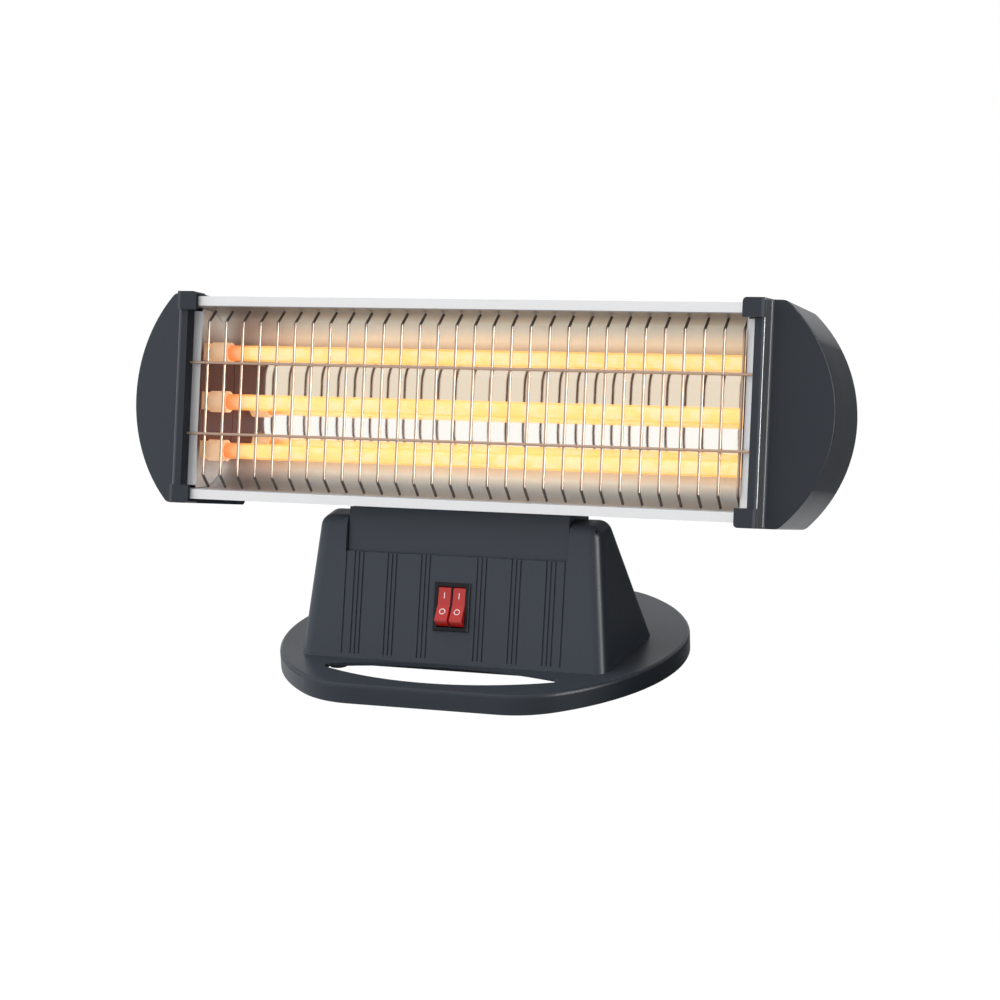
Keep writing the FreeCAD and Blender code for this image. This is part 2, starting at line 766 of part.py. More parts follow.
def on_front(thing, height):
    """Leans a thing back onto the pedestal's front face, at a height above the base plate."""
    lean = FreeCAD.Rotation(FreeCAD.Vector(-1, 0, 0), front_lean())
    origin = FreeCAD.Vector(0, -pedestal_front_depth_at(height).value, (base_top + height).value)
    thing.Placement = FreeCAD.Placement(origin, lean).multiply(thing.Placement)


def front_solid(name, shape, height):
    """A shape drawn on the upright front plane, set on the leaning front face."""
    feature = doc.addObject("Part::Feature", name)
    feature.Shape = shape
    on_front(feature, height)
    return feature


def upright_box(width, depth, tall, x=0.0, y=0.0, z=0.0):
    """A box centred on (x, z) that reaches backwards from y."""
    corner = FreeCAD.Vector(x - width / 2, y, z - tall / 2)
    return Part.makeBox(width, depth, tall, corner)


def switch_cutout():
    hole = upright_box(
        v.switch_body_width + 2 * v.fit_gap, v.plastic_wall * 2 + 2 * v.overrun,
        v.switch_body_tall + 2 * v.fit_gap, y=-v.overrun,
    )
    return front_solid("SwitchCutout", hole, s.switch_height)


def groove_tools():
    """Groups of fine upright grooves either side of the switch, and one at each panel edge."""
    offsets = [v.groove_outer]
    for number in range(COUNTS["groove_groups"]):
        centre = v.groove_group_first + number * v.groove_group_pitch
        for line in range(COUNTS["grooves_in_group"]):
            offsets.append(centre + (line - 1) * v.groove_pitch)
    tools = []
    tall = v.slot_front_height * 2
    for offset in offsets:
        for side in (-1, 1):
            line = upright_box(
                v.groove_width, v.groove_depth + v.overrun, tall, x=side * offset, y=-v.overrun,
            )
            tools.append(front_solid("Groove", line, s.slot_front_height))
    return tools


def make_cord_bush():
    """Rubber bush in the boss at the pedestal's back."""
    sleeve = cylinder(
        "BushSleeve", s.bush_hole_radius - s.running_gap, s.bush_boss_length, (0, 1, 0),
        y=s.bush_boss_end - s.bush_boss_length, z=base_top + s.bush_height,
    )
    rim = cylinder(
        "BushRim", s.bush_flange_radius, s.bush_flange, (0, 1, 0),
        y=s.bush_boss_end, z=base_top + s.bush_height,
    )
    bore = cylinder(
        "BushBore", s.bush_bore_radius, (s.bush_boss_length + s.overrun) * 2, (0, 1, 0),
        y=s.bush_boss_end - s.bush_boss_length - s.overrun, z=base_top + s.bush_height,
    )
    return keep(cut("CordBush", fuse("BushBody", [sleeve, rim]), bore), "cord_bush")


def rocker_centres():
    return {"rocker_left": -v.rocker_spacing / 2, "rocker_right": v.rocker_spacing / 2}


def make_switch_frame():
    """Snap-in frame with a window and a pocket for each rocker."""
    rim = upright_box(v.switch_width, v.switch_flange, v.switch_tall, y=-v.switch_flange)
    front = [edge for edge in rim.Edges if near(edge.CenterOfMass.y, -v.switch_flange)]
    rim = rim.makeFillet(v.switch_flange / 2, front)
    frame = rim.fuse(upright_box(v.switch_body_width, v.switch_body_depth, v.switch_body_tall))
    for centre in rocker_centres().values():
        window = upright_box(
            v.rocker_width + 2 * v.rocker_side_gap, v.switch_flange + v.rocker_pocket_depth + v.overrun,
            v.rocker_window_tall, x=centre, y=-v.switch_flange - v.overrun,
        )
        reach = v.rocker_width / 2 + v.rocker_side_gap + v.rocker_pin_reach
        start = FreeCAD.Vector(centre - reach, v.rocker_pivot_depth, 0)
        pin_hole = Part.makeCylinder(
            v.rocker_pin_radius + v.running_gap, 2 * reach, start, FreeCAD.Vector(1, 0, 0),
        )
        frame = frame.cut(window).cut(pin_hole)
    return keep(front_solid("SwitchFrame", frame, s.switch_height), "switch_frame")


def make_rockers():
    """Each rocker has two facets that meet in a saddle, and ends that are round about its pivot.

    It rests with its top pressed in.
    """
    radius = v.rocker_end_radius
    swing = math.asin((v.rocker_pivot_depth + v.rocker_crest) / radius)
    tip = radius * math.cos(swing)
    heel = (tip - v.rocker_crest) / 2
    back = v.rocker_pivot_depth + v.rocker_back
    for label, centre in rocker_centres().items():
        start = centre - v.rocker_width / 2

        def at(depth, height):
            return FreeCAD.Vector(start, depth, height)

        def round_end(side):
            middle = v.rocker_pivot_depth - radius * math.sin(swing / 2)
            bulge = at(middle, side * radius * math.cos(swing / 2))
            return Part.Arc(at(-v.rocker_crest, side * tip), bulge, at(v.rocker_pivot_depth, side * radius))

        facets = Part.makePolygon([
            at(-v.rocker_crest, tip), at(-v.rocker_saddle, 0), at(-v.rocker_crest, -tip),
        ])
        inside = Part.makePolygon([
            at(v.rocker_pivot_depth, -radius), at(back, -heel),
            at(back, heel), at(v.rocker_pivot_depth, radius),
        ])
        ends = [round_end(side).toShape() for side in (1, -1)]
        section = Part.Wire(Part.__sortEdges__(facets.Edges + inside.Edges + ends))
        block = Part.Face(section).extrude(FreeCAD.Vector(v.rocker_width, 0, 0))
        reach = v.rocker_width / 2 + v.rocker_side_gap + v.rocker_pin_reach - v.running_gap
        pin_start = FreeCAD.Vector(centre - reach, v.rocker_pivot_depth, 0)
        pin = Part.makeCylinder(v.rocker_pin_radius, 2 * reach, pin_start, FreeCAD.Vector(1, 0, 0))
        rocker = block.fuse(pin)
        pivot = FreeCAD.Vector(centre, v.rocker_pivot_depth, 0)
        rocker.rotate(pivot, FreeCAD.Vector(-1, 0, 0), v.rocker_lean)
        keep(front_solid(label.title().replace("_", ""), rocker, s.switch_height), label)


def make_switch_terminals():
    """Flat blades behind the switch, three for each rocker."""
    blades = []
    for centre in rocker_centres().values():
        for step in (-1, 0, 1):
            blades.append(upright_box(
                v.terminal_width, v.terminal_length, v.terminal_thickness,
                x=centre, y=v.switch_body_depth, z=step * v.terminal_spacing,
            ))
    keep(front_solid("SwitchTerminals", Part.makeCompound(blades), s.switch_height), "switch_terminals")


def tilt_rotation():
    return FreeCAD.Rotation(FreeCAD.Vector(-1, 0, 0), v.tilt)


def on_pivot(thing):
    """Places a thing drawn about the pivot axis, leaned back by the tilt."""
    thing.Placement = FreeCAD.Placement(FreeCAD.Vector(0, 0, 0), tilt_rotation())
    place(thing, y=-s.pivot_depth, z=s.pivot_height)
    return thing


def on_head(thing):
    """Places a thing drawn about the middle of the head's front plane."""
    lean_sin = function_of("sin", s.tilt)
    lean_cos = function_of("cos", s.tilt)
    thing.Placement = FreeCAD.Placement(FreeCAD.Vector(0, 0, 0), tilt_rotation())
    place(
        thing, y=s.head_rise * lean_sin - s.pivot_depth - s.head_ahead * lean_cos,
        z=s.pivot_height + s.head_ahead * lean_sin + s.head_rise * lean_cos,
    )
    return thing


def head_solid(name, shape, label):
    feature = doc.addObject("Part::Feature", name)
    feature.Shape = shape
    return keep(on_head(feature), label)


def make_neck():
    """Block between the cheeks: flat front, drum-shaped foot about the pivot, sloped seat on top."""
    body = new_body("NeckBlock")
    seat = s.head_rise - s.flange_top - s.fit_gap
    shoulder = s.housing_shoulder_depth - s.head_ahead
    slope = (s.flange_top - s.housing_back_half) / (s.housing_back_depth - s.housing_shoulder_depth)
    sweep_y = s.neck_front * function_of("cos", s.neck_sweep)
    sweep_z = s.neck_front * function_of("sin", s.neck_sweep)
    corners = [
        (-s.neck_front, 0), (-sweep_y, -sweep_z), (0, -s.neck_rear), (s.neck_rear, 0),
        (s.neck_rear, seat + (s.neck_rear - shoulder) * slope), (shoulder, seat), (-s.neck_front, seat),
    ]
    sketch = outline(body, "NeckProfile", "YZ_Plane", corners, {0: (s.neck_front, 1)})
    pad(body, "NeckPad", sketch, s.neck_half_width * 2, both_ways=True)
    doc.recompute()
    bores = []
    for start in (-s.neck_half_width - s.overrun, s.neck_half_width - s.pivot_bolt_reach):
        bores.append(cylinder(
            "NeckBore", s.pivot_bolt_radius + s.running_gap, s.pivot_bolt_reach + s.overrun,
            (1, 0, 0), x=start,
        ))
    neck = cut("NeckDrilled", body, fuse("NeckBores", bores))
    return keep(on_pivot(neck), "neck_block")


def make_pivot():
    """A shouldered bolt through each cheek wall into the neck, with a friction washer."""
    bolts = []
    washers = []
    reach = s.pivot_bolt_reach - s.fit_gap * 2
    outer = s.slot_half_width + s.plastic_wall
    inner = s.neck_half_width - reach
    for side in (1, -1):
        direction = (side, 0, 0)
        shaft = cylinder(
            "PivotShaft", s.pivot_bolt_radius, outer - inner, direction,
            x=inner * side, y=-s.pivot_depth, z=s.pivot_height,
        )
        head = cylinder(
            "PivotHead", s.pivot_head_radius, s.pivot_head, direction,
            x=outer * side, y=-s.pivot_depth, z=s.pivot_height,
        )
        bolts.append(fuse("PivotBolt", [shaft, head]))
        ring = cylinder(
            "WasherDisc", s.washer_radius, s.washer_thickness, direction,
            x=(s.slot_half_width - s.washer_thickness) * side, y=-s.pivot_depth, z=s.pivot_height,
        )
        hole = cylinder(
            "WasherHole", s.pivot_bolt_radius + s.running_gap, s.overrun * 2, direction,
            x=(s.slot_half_width - s.overrun) * side, y=-s.pivot_depth, z=s.pivot_height,
        )
        washers.append(cut("Washer", ring, hole))
    keep(group("PivotBolts", bolts), "pivot_bolts")
    keep(group("PivotWashers", washers), "pivot_washers")


def rounded_path(points, radii):
    """A wire through (depth, height) points in the plane X = 0, its inner corners bent to the radii."""
    corners = [FreeCAD.Vector(0, depth, height) for depth, height in points]
    edges = []
    start = corners[0]
    for corner, following, radius in zip(corners[1:-1], corners[2:], radii):
        back = (start - corner).normalize()
        ahead = (following - corner).normalize()
        half = back.getAngle(ahead) / 2.0
        if radius:
            trim = radius / math.tan(half)
            bend_in = corner + back * trim
            bend_out = corner + ahead * trim
            inward = (back + ahead).normalize()
            middle = corner + inward * (radius / math.sin(half) - radius)
            edges.append(Part.LineSegment(start, bend_in).toShape())
            edges.append(Part.Arc(bend_in, middle, bend_out).toShape())
            start = bend_out
        else:
            edges.append(Part.LineSegment(start, corner).toShape())
            start = corner
    edges.append(Part.LineSegment(start, corners[-1]).toShape())
    return Part.Wire(edges)


def both_halves(points):
    return points + [(depth, -height) for depth, height in reversed(points)]


def bent_sheet(points, radii, thickness, half_length):
    """A sheet whose given surface follows the path, with its thickness to the inner side."""
    outer = rounded_path(points, radii)
    inner_points = inset_path(points, thickness)
    inner_radii = [max(radius - thickness, 0) for radius in radii]
    inner = rounded_path(inner_points, inner_radii)
    ends = [
        Part.LineSegment(outer.OrderedVertexes[0].Point, inner.OrderedVertexes[0].Point).toShape(),
        Part.LineSegment(outer.OrderedVertexes[-1].Point, inner.OrderedVertexes[-1].Point).toShape(),
    ]
    wire = Part.Wire(Part.__sortEdges__(outer.Edges + inner.Edges + ends))
    face = Part.Face(wire)
    face.translate(FreeCAD.Vector(-half_length, 0, 0))
    return face.extrude(FreeCAD.Vector(2 * half_length, 0, 0))


def inset_path(points, thickness):
    """The path moved to its right by the thickness, with its corners mitred."""
    normals = []
    for (depth, height), (next_depth, next_height) in zip(points, points[1:]):
        length = math.hypot(next_depth - depth, next_height - height)
        normals.append(((next_height - height) / length, -(next_depth - depth) / length))
    moved = []
    for number, (depth, height) in enumerate(points):
        before = normals[max(number - 1, 0)]
        after = normals[min(number, len(normals) - 1)]
        scale = thickness / (1 + before[0] * after[0] + before[1] * after[1])
        moved.append((depth + (before[0] + after[0]) * scale, height + (before[1] + after[1]) * scale))
    return moved


def housing_points():
    return both_halves([
        (v.flange_depth, v.flange_low), (v.flange_depth, v.flange_top),
        (v.housing_shoulder_depth, v.flange_top), (v.housing_back_depth, v.housing_back_half),
    ])


def housing_radii():
    bends = [0, v.housing_bend, v.housing_bend]
    return bends + bends[::-1]


def make_housing():
    """Outer sheet of the head: two front flanges, sloped top and bottom, slotted flat back."""
    shell = bent_sheet(housing_points(), housing_radii(), v.sheet_thickness, v.housing_half_length)
    slots = []
    for number in range(COUNTS["vent_slots"]):
        across = (number - (COUNTS["vent_slots"] - 1) / 2) * v.vent_pitch
        for height in (v.vent_row, -v.vent_row):
            slots.append(upright_box(
                v.vent_length, 2 * v.overrun, v.vent_height,
                x=across, y=v.housing_back_depth - v.overrun / 2, z=height,
            ))
    return head_solid("Housing", shell.cut(Part.makeCompound(slots)), "housing")


def reflector_points():
    lip = v.flange_depth + v.sheet_thickness
    return both_halves([
        (lip, v.reflector_lip_top), (lip, v.reflector_mouth),
        (v.reflector_shoulder_depth, v.reflector_shoulder_half),
        (v.reflector_back_depth, v.reflector_back_half),
    ])


def reflector_radii():
    """Wide bends of the trough, as far as the slope between shoulder and back has room for both."""
    mouth, shoulder, back = [FreeCAD.Vector(depth, height) for depth, height in reflector_points()[1:4]]
    slope = back - shoulder
    turns = slope.getAngle(shoulder - mouth), slope.getAngle(FreeCAD.Vector(0, -1))
    room = slope.Length / sum(math.tan(turn / 2) for turn in turns) - v.fit_gap - v.sheet_thickness
    bend = min(v.reflector_bend, room)
    bends = [0, bend, bend]
    return bends + bends[::-1]


def make_reflector():
    """Bright trough: flat back, sloped sides with wide bends, and lips behind the flanges."""
    points = inset_path(reflector_points(), -v.sheet_thickness)
    radii = [radius + v.sheet_thickness if radius else 0 for radius in reflector_radii()]
    shell = bent_sheet(points, radii, v.sheet_thickness, v.reflector_half_length)
    return head_solid("Reflector", shell, "reflector")


def tube_heights():
    middle = -v.tube_drop
    return {"upper": middle + v.tube_pitch, "middle": middle, "lower": middle - v.tube_pitch}


def make_end_strips():
    """Pale strip at each end of the mouth, between the end plate and the cap."""
    for side, label in ((-1, "end_strip_left"), (1, "end_strip_right")):
        width = v.end_strip_width - v.sheet_thickness
        middle = v.end_plate_place + v.sheet_thickness + width / 2
        strip = upright_box(
            width, v.sheet_thickness, 2 * v.end_plate_half, x=side * middle, y=v.end_plate_front,
        )
        head_solid("EndStrip", strip, label)


def make_end_plates():
    """Sheet wall that closes the reflector, with a slot for each tube."""
    points = inset_path(reflector_points()[1:-1], v.fit_gap)
    path = rounded_path(points, reflector_radii()[1:-1])
    closing = Part.LineSegment(path.OrderedVertexes[-1].Point, path.OrderedVertexes[0].Point).toShape()
    face = Part.Face(Part.Wire(path.Edges + [closing]))
    for side, label in ((-1, "end_plate_left"), (1, "end_plate_right")):
        wall = face.copy()
        wall.translate(FreeCAD.Vector(side * v.end_plate_place, 0, 0))
        wall = wall.extrude(FreeCAD.Vector(side * v.sheet_thickness, 0, 0))
        front = upright_box(
            4 * v.end_strip_width, v.end_plate_front + v.overrun, 4 * v.end_plate_half,
            x=side * v.end_plate_place, y=-v.overrun,
        )
        wall = wall.cut(front)
        plate = wall
        for height in tube_heights().values():
            slot = upright_box(
                v.overrun, v.tube_depth - v.tube_slot_front,
                2 * (v.holder_neck_radius + v.running_gap),
                x=side * v.end_plate_place, y=v.tube_slot_front, z=height,
            )
            seat = Part.makeCylinder(
                v.holder_neck_radius + v.running_gap, v.overrun,
                FreeCAD.Vector(side * v.end_plate_place - v.overrun / 2, v.tube_depth, height),
                FreeCAD.Vector(1, 0, 0),
            )
            plate = plate.cut(slot).cut(seat)
        head_solid("EndPlate", plate.removeSplitter(), label)


def tube_rod(name, radius, short, height):
    """A rod along a tube's axis that stops short of both of the tube's ends."""
    return cylinder(
        name, radius, s.tube_half_length + s.tube_right_end - short * 2, (1, 0, 0),
        x=short - s.tube_half_length, y=s.tube_depth, z=height,
    )


def make_tubes():
    """Quartz tubes, each with its wound resistance coil inside."""
    for number, name in enumerate(("upper", "middle", "lower")):
        height = s.tube_pitch * (1 - number) - s.tube_drop
        wall = tube_rod("TubeOutside", s.tube_radius, s.tube_radius * 0.0, height)
        bore = tube_rod("TubeBore", s.tube_radius - s.tube_wall, -s.overrun, height)
        keep(on_head(cut("QuartzTube", wall, bore)), "quartz_tube_" + name)
        winding = tube_rod("CoilOutside", s.coil_radius, s.coil_short, height)
        core = tube_rod("CoilCore", s.coil_radius - s.coil_wall, s.coil_short - s.overrun, height)
        keep(on_head(cut("HeatingCoil", winding, core)), "heating_coil_" + name)


def make_tube_holders():
    """Ceramic holders whose necks sit in the end plates' slots, with a terminal pin in each.

    The left holders stand inside the reflector. The right ones stand outside it, in the cap.
    """
    ends = (
        (-1, "left", s.holder_inner_length, s.tube_half_length),
        (1, "right", s.holder_lip_length, s.tube_right_end),
    )
    for side, hand, inner_length, tube_end in ends:
        holders = []
        pins = []
        for number in range(len(tube_heights())):
            height = s.tube_pitch * (1 - number) - s.tube_drop
            direction = (side, 0, 0)

            def rod(name, radius, start, length):
                return cylinder(name, radius, length, direction, x=start * side, y=s.tube_depth, z=height)

            start = s.end_plate_place - inner_length - s.running_gap
            neck_end = s.end_plate_place + s.sheet_thickness + s.running_gap
            end = neck_end + s.holder_outer_length
            inner = rod("HolderInside", s.holder_radius, start, inner_length)
            neck = rod("HolderNeck", s.holder_neck_radius, start, end - start)
            outer = rod("HolderOutside", s.holder_radius, neck_end, s.holder_outer_length)
            socket = rod(
                "HolderSocket", s.tube_radius + s.running_gap, start - s.overrun,
                tube_end - start + s.overrun + s.running_gap,
            )
            bore = rod("HolderBore", s.pin_radius + s.running_gap, start, end - start + s.overrun)
            solid = fuse("HolderBody", [inner, neck, outer])
            holders.append(cut("Holder", solid, fuse("HolderHoles", [socket, bore])))
            pin_start = tube_end - s.coil_short
            pins.append(rod("TerminalPin", s.pin_radius, pin_start, end - pin_start + s.pin_length))
        keep(on_head(group("TubeHolders", holders)), "tube_holders_" + hand)
        keep(on_head(group("TerminalPins", pins)), "terminal_pins_" + hand)


def wire_along(points):
    """A round wire with mitred bends along points."""
    path = Part.Wire(Part.makePolygon(points))
    ring = Part.Wire(Part.Circle(points[0], points[1] - points[0], v.wire_radius).toShape())
    shell = Part.BRepOffsetAPI.MakePipeShell(path)
    shell.setTransitionMode(1)
    shell.add(ring)
    shell.build()
    shell.makeSolid()
    return shell.shape()


def make_guard():
    """Upright wires with both ends bent back to the reflector, behind two long cross wires."""
    uprights = []
    last = COUNTS["guard_wires"] - 1
    for number in range(COUNTS["guard_wires"]):
        across = v.guard_shift + v.guard_half_width * (2.0 * number / last - 1.0)
        half = [(v.guard_end_depth, v.guard_end_height), (v.guard_depth, v.guard_bend_height)]
        points = [FreeCAD.Vector(across, depth, height) for depth, height in both_halves(half)]
        uprights.append(wire_along(points))
    head_solid("GuardUprights", Part.makeCompound(uprights), "guard_uprights")
    front = v.guard_depth - 2 * v.wire_radius - v.running_gap
    crosses = []
    for height in (v.cross_height, -v.cross_height):
        start = FreeCAD.Vector(-v.cross_reach, front, height)
        crosses.append(Part.makeCylinder(v.wire_radius, 2 * v.cross_reach, start, FreeCAD.Vector(1, 0, 0)))
    head_solid("GuardCrosses", Part.makeCompound(crosses), "guard_cross_wires")


def d_prism(inset, inner_x, front, back):
    """D-shaped prism of the right cap, moved inwards by the inset."""
    half = v.cap_half_height - inset
    sagitta = v.cap_reach - v.cap_arc_start
    radius = (v.cap_half_height ** 2 + sagitta ** 2) / (2 * sagitta)
    centre = v.cap_reach - radius
    start_x = centre + math.sqrt((radius - inset) ** 2 - half ** 2)
    low_in = FreeCAD.Vector(inner_x, front, -half)
    low_out = FreeCAD.Vector(start_x, front, -half)
    crest = FreeCAD.Vector(v.cap_reach - inset, front, 0)
    high_out = FreeCAD.Vector(start_x, front, half)
    high_in = FreeCAD.Vector(inner_x, front, half)
    wire = Part.Wire([
        Part.LineSegment(low_in, low_out).toShape(), Part.Arc(low_out, crest, high_out).toShape(),
        Part.LineSegment(high_out, high_in).toShape(), Part.LineSegment(high_in, low_in).toShape(),
    ])
    prism = Part.Face(wire).extrude(FreeCAD.Vector(0, back - front, 0))
    corners = [edge for edge in prism.Edges
               if near(edge.CenterOfMass.x, start_x) and near(abs(edge.CenterOfMass.z), half)
               and near(edge.Length, back - front)]
    return prism.makeFillet(v.cap_corner_round - inset, corners)


def front_wedge(inset):
    """The space in front of a cap's stepped, slanted face, moved back by the inset."""
    strip = v.cap_strip_outer - inset
    step = strip + v.cap_step_run
    far = v.cap_reach + v.overrun
    slope = (v.cap_edge_depth - v.cap_step_depth) / (v.cap_reach - v.cap_strip_outer - v.cap_step_run)
    section = [
        (strip, -v.overrun), (strip, v.cap_strip_depth + inset), (step, v.cap_step_depth + inset),
        (far, v.cap_step_depth + inset + (far - step) * slope), (far, -v.overrun),
    ]
    low = -v.cap_half_height - v.overrun
    points = [FreeCAD.Vector(x, y, low) for x, y in section]
    face = Part.Face(Part.makePolygon(points + points[:1]))
    return face.extrude(FreeCAD.Vector(0, 0, -2 * low))


def housing_plug():
    """The housing's closed section with a clearance, through the cap's inner wall."""
    path = rounded_path(inset_path(housing_points()[1:-1], -v.fit_gap), [v.housing_bend] * 4)
    ends = path.OrderedVertexes
    front = [FreeCAD.Vector(0, -v.overrun, ends[-1].Z), FreeCAD.Vector(0, -v.overrun, ends[0].Z)]
    closing = Part.makePolygon([ends[-1].Point] + front + [ends[0].Point])
    face = Part.Face(Part.Wire(path.Edges + closing.Edges))
    face.translate(FreeCAD.Vector(v.tab_inner, 0, 0))
    return face.extrude(FreeCAD.Vector(v.housing_half_length + v.fit_gap - v.tab_inner, 0, 0))


def face_edges(cap):
    """Outer edges of a cap's slanted face, without the one at its step."""
    outer = v.cap_strip_outer + v.cap_step_run + v.fit_gap
    slanted = [face for face in cap.Faces if face.CenterOfMass.x > outer
               and face.normalAt(0, 0).y < -abs(face.normalAt(0, 0).x)]
    slanted.sort(key=lambda face: face.Area)
    return [edge for edge in slanted[-1].Edges if edge.CenterOfMass.x > outer]


def make_end_caps():
    """Hollow D-shaped mouldings with a front strip, a stepped slanted face and clips at the corners."""
    wall = v.plastic_wall
    outside = d_prism(0, v.cap_inner, v.cap_strip_depth, v.cap_back_depth)
    rim = [edge for edge in outside.Edges if near(edge.CenterOfMass.y, v.cap_back_depth)
           and edge.CenterOfMass.x > v.cap_inner + v.fit_gap]
    outside = outside.makeFillet(v.cap_back_round, rim).cut(front_wedge(0)).removeSplitter()
    ridge = [edge for edge in outside.Edges if near(edge.CenterOfMass.x, v.cap_strip_outer)
             and near(edge.CenterOfMass.y, v.cap_strip_depth)]
    outside = outside.makeFillet(v.cap_strip_round, ridge)
    outside = outside.makeFillet(v.cap_face_round, face_edges(outside))
    cavity = d_prism(wall, v.cap_inner + wall, v.cap_strip_depth + wall, v.cap_back_depth - wall)
    cavity = cavity.cut(front_wedge(wall))
    cap = outside.cut(cavity)
    opening = housing_plug()
    strip_guard = upright_box(
        2 * v.overrun, v.end_plate_front - v.cap_strip_depth, 2 * v.cap_half_height,
        x=v.cap_inner + v.overrun, y=v.cap_strip_depth,
    )
    cap = cap.cut(opening.cut(strip_guard))
    for side in (-1, 1):
        slot_height = v.flange_width + 2 * v.fit_gap
        slot = upright_box(
            2 * (v.housing_half_length + v.fit_gap - v.tab_inner), v.end_plate_front - v.cap_strip_depth,
            slot_height, x=v.tab_inner, y=v.cap_strip_depth, z=side * (v.flange_top - v.flange_width / 2),
        )
        cap = cap.cut(slot)
    tab_width = v.cap_strip_outer - v.tab_inner
    for side in (1, -1):
        middle = side * (v.cap_half_height - v.tab_height / 2)
        plate = upright_box(
            tab_width, v.cap_strip_depth, v.tab_height, x=v.tab_inner + tab_width / 2, z=middle,
        )
        hook_height = v.cap_half_height - v.flange_top - v.fit_gap
        hook = upright_box(
            tab_width, v.tab_hook_depth, hook_height,
            x=v.tab_inner + tab_width / 2, z=side * (v.cap_half_height - hook_height / 2),
        )
        clip = plate.fuse(hook).removeSplitter()
        corner = [edge for edge in clip.Edges if near(edge.CenterOfMass.x, v.tab_inner)
                  and near(abs(edge.CenterOfMass.z), v.cap_half_height)
                  and near(edge.Length, v.tab_hook_depth)]
        cap = cap.fuse(clip.makeFillet(v.tab_round, corner))
    front = v.guard_depth - 2 * v.wire_radius - v.running_gap
    for height in (v.cross_height, -v.cross_height):
        start = FreeCAD.Vector(v.cap_inner - v.overrun, front, height)
        hole = Part.makeCylinder(
            v.wire_radius + v.running_gap, v.overrun + v.cross_reach - v.cap_inner + v.fit_gap,
            start, FreeCAD.Vector(1, 0, 0),
        )
        cap = cap.cut(hole)
    cap = cap.removeSplitter()
    head_solid("EndCapRight", cap, "end_cap_right")
    other = cap.mirror(FreeCAD.Vector(0, 0, 0), FreeCAD.Vector(1, 0, 0))
    head_solid("EndCapLeft", other, "end_cap_left")


make_base_plate()
make_feet()
make_base_screws()
make_bottom_cover()
make_pedestal()
make_cord_bush()
make_switch_frame()
make_rockers()
make_switch_terminals()
make_pivot()
make_neck()
make_housing()
make_reflector()
make_end_plates()
make_end_strips()
make_tubes()
make_tube_holders()
make_guard()
make_end_caps()
doc.recompute()

failed = [thing.Name for thing in doc.Objects if "Invalid" in thing.State or "Error" in thing.State]
if failed:
    raise RuntimeError("failed features: " + ", ".join(failed))
for node in nodes:
    if node.Shape.isNull() or not node.Shape.isValid():
        raise RuntimeError("bad shape: " + node.Label)

os.makedirs("parts", exist_ok=True)
for node in nodes:
    node.Shape.exportStep("parts/%s.step" % node.Label)
print("wrote %d sub-parts" % len(nodes))
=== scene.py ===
import math

import bmesh
import bpy
from mathutils import Matrix, Vector


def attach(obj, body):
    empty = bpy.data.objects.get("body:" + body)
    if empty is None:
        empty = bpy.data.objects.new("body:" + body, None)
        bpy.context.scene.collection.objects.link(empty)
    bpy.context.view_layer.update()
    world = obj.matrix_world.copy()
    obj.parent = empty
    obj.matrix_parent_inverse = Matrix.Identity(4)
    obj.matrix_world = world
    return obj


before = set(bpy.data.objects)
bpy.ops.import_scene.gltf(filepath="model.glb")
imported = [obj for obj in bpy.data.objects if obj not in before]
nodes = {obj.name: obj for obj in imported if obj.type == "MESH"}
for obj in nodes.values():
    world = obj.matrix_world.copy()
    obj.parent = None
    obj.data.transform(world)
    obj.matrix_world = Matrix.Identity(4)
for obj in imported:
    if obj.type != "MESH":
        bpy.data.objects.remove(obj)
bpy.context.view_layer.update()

# The head leans back about the pivot. This group gives how far a point of the head lies above
# the head's middle, measured along the lean, and how far away from it either way.
head_tilt = math.radians(15.0)
head_up = (0.0, math.sin(head_tilt), math.cos(head_tilt))
head_rearward = (0.0, math.cos(head_tilt), -math.sin(head_tilt))
head_middle = 0.1595
head_height = bpy.data.node_groups.new("head_height", "ShaderNodeTree")
head_height.interface.new_socket("Height", in_out="OUTPUT", socket_type="NodeSocketFloat")
head_height.interface.new_socket("Away", in_out="OUTPUT", socket_type="NodeSocketFloat")
where = head_height.nodes.new("ShaderNodeTexCoord")
along = head_height.nodes.new("ShaderNodeVectorMath")
along.operation = "DOT_PRODUCT"
along.inputs[1].default_value = head_up
head_height.links.new(where.outputs["Object"], along.inputs[0])
offset = head_height.nodes.new("ShaderNodeMath")
offset.operation = "SUBTRACT"
offset.inputs[1].default_value = head_middle
head_height.links.new(along.outputs["Value"], offset.inputs[0])
away = head_height.nodes.new("ShaderNodeMath")
away.operation = "ABSOLUTE"
head_height.links.new(offset.outputs["Value"], away.inputs[0])
result = head_height.nodes.new("NodeGroupOutput")
head_height.links.new(offset.outputs["Value"], result.inputs["Height"])
head_height.links.new(away.outputs["Value"], result.inputs["Away"])


# Moulded anthracite plastic of the stand, the neck and the end caps. A fine spark-eroded
# grain breaks up the highlights, and the satin finish varies a little over large areas. Walls
# that face sideways are matt, and the ridge beside each end of the mouth is rubbed to a gloss.
ridge_middle, ridge_half_width, ridge_depth = 0.1955, 0.0024, -0.066
plastic = bpy.data.materials.new("moulded_plastic")
plastic.use_nodes = True
tree = plastic.node_tree
shader = tree.nodes["Principled BSDF"]
shader.inputs["Base Color"].default_value = (0.058, 0.068, 0.083, 1.0)
shader.inputs["Coat Roughness"].default_value = 0.2
where = tree.nodes.new("ShaderNodeTexCoord")
grain = tree.nodes.new("ShaderNodeTexNoise")
grain.inputs["Scale"].default_value = 2600.0
grain.inputs["Detail"].default_value = 2.0
tree.links.new(where.outputs["Object"], grain.inputs["Vector"])
relief = tree.nodes.new("ShaderNodeBump")
relief.inputs["Strength"].default_value = 0.16
relief.inputs["Distance"].default_value = 0.0002
tree.links.new(grain.outputs["Fac"], relief.inputs["Height"])
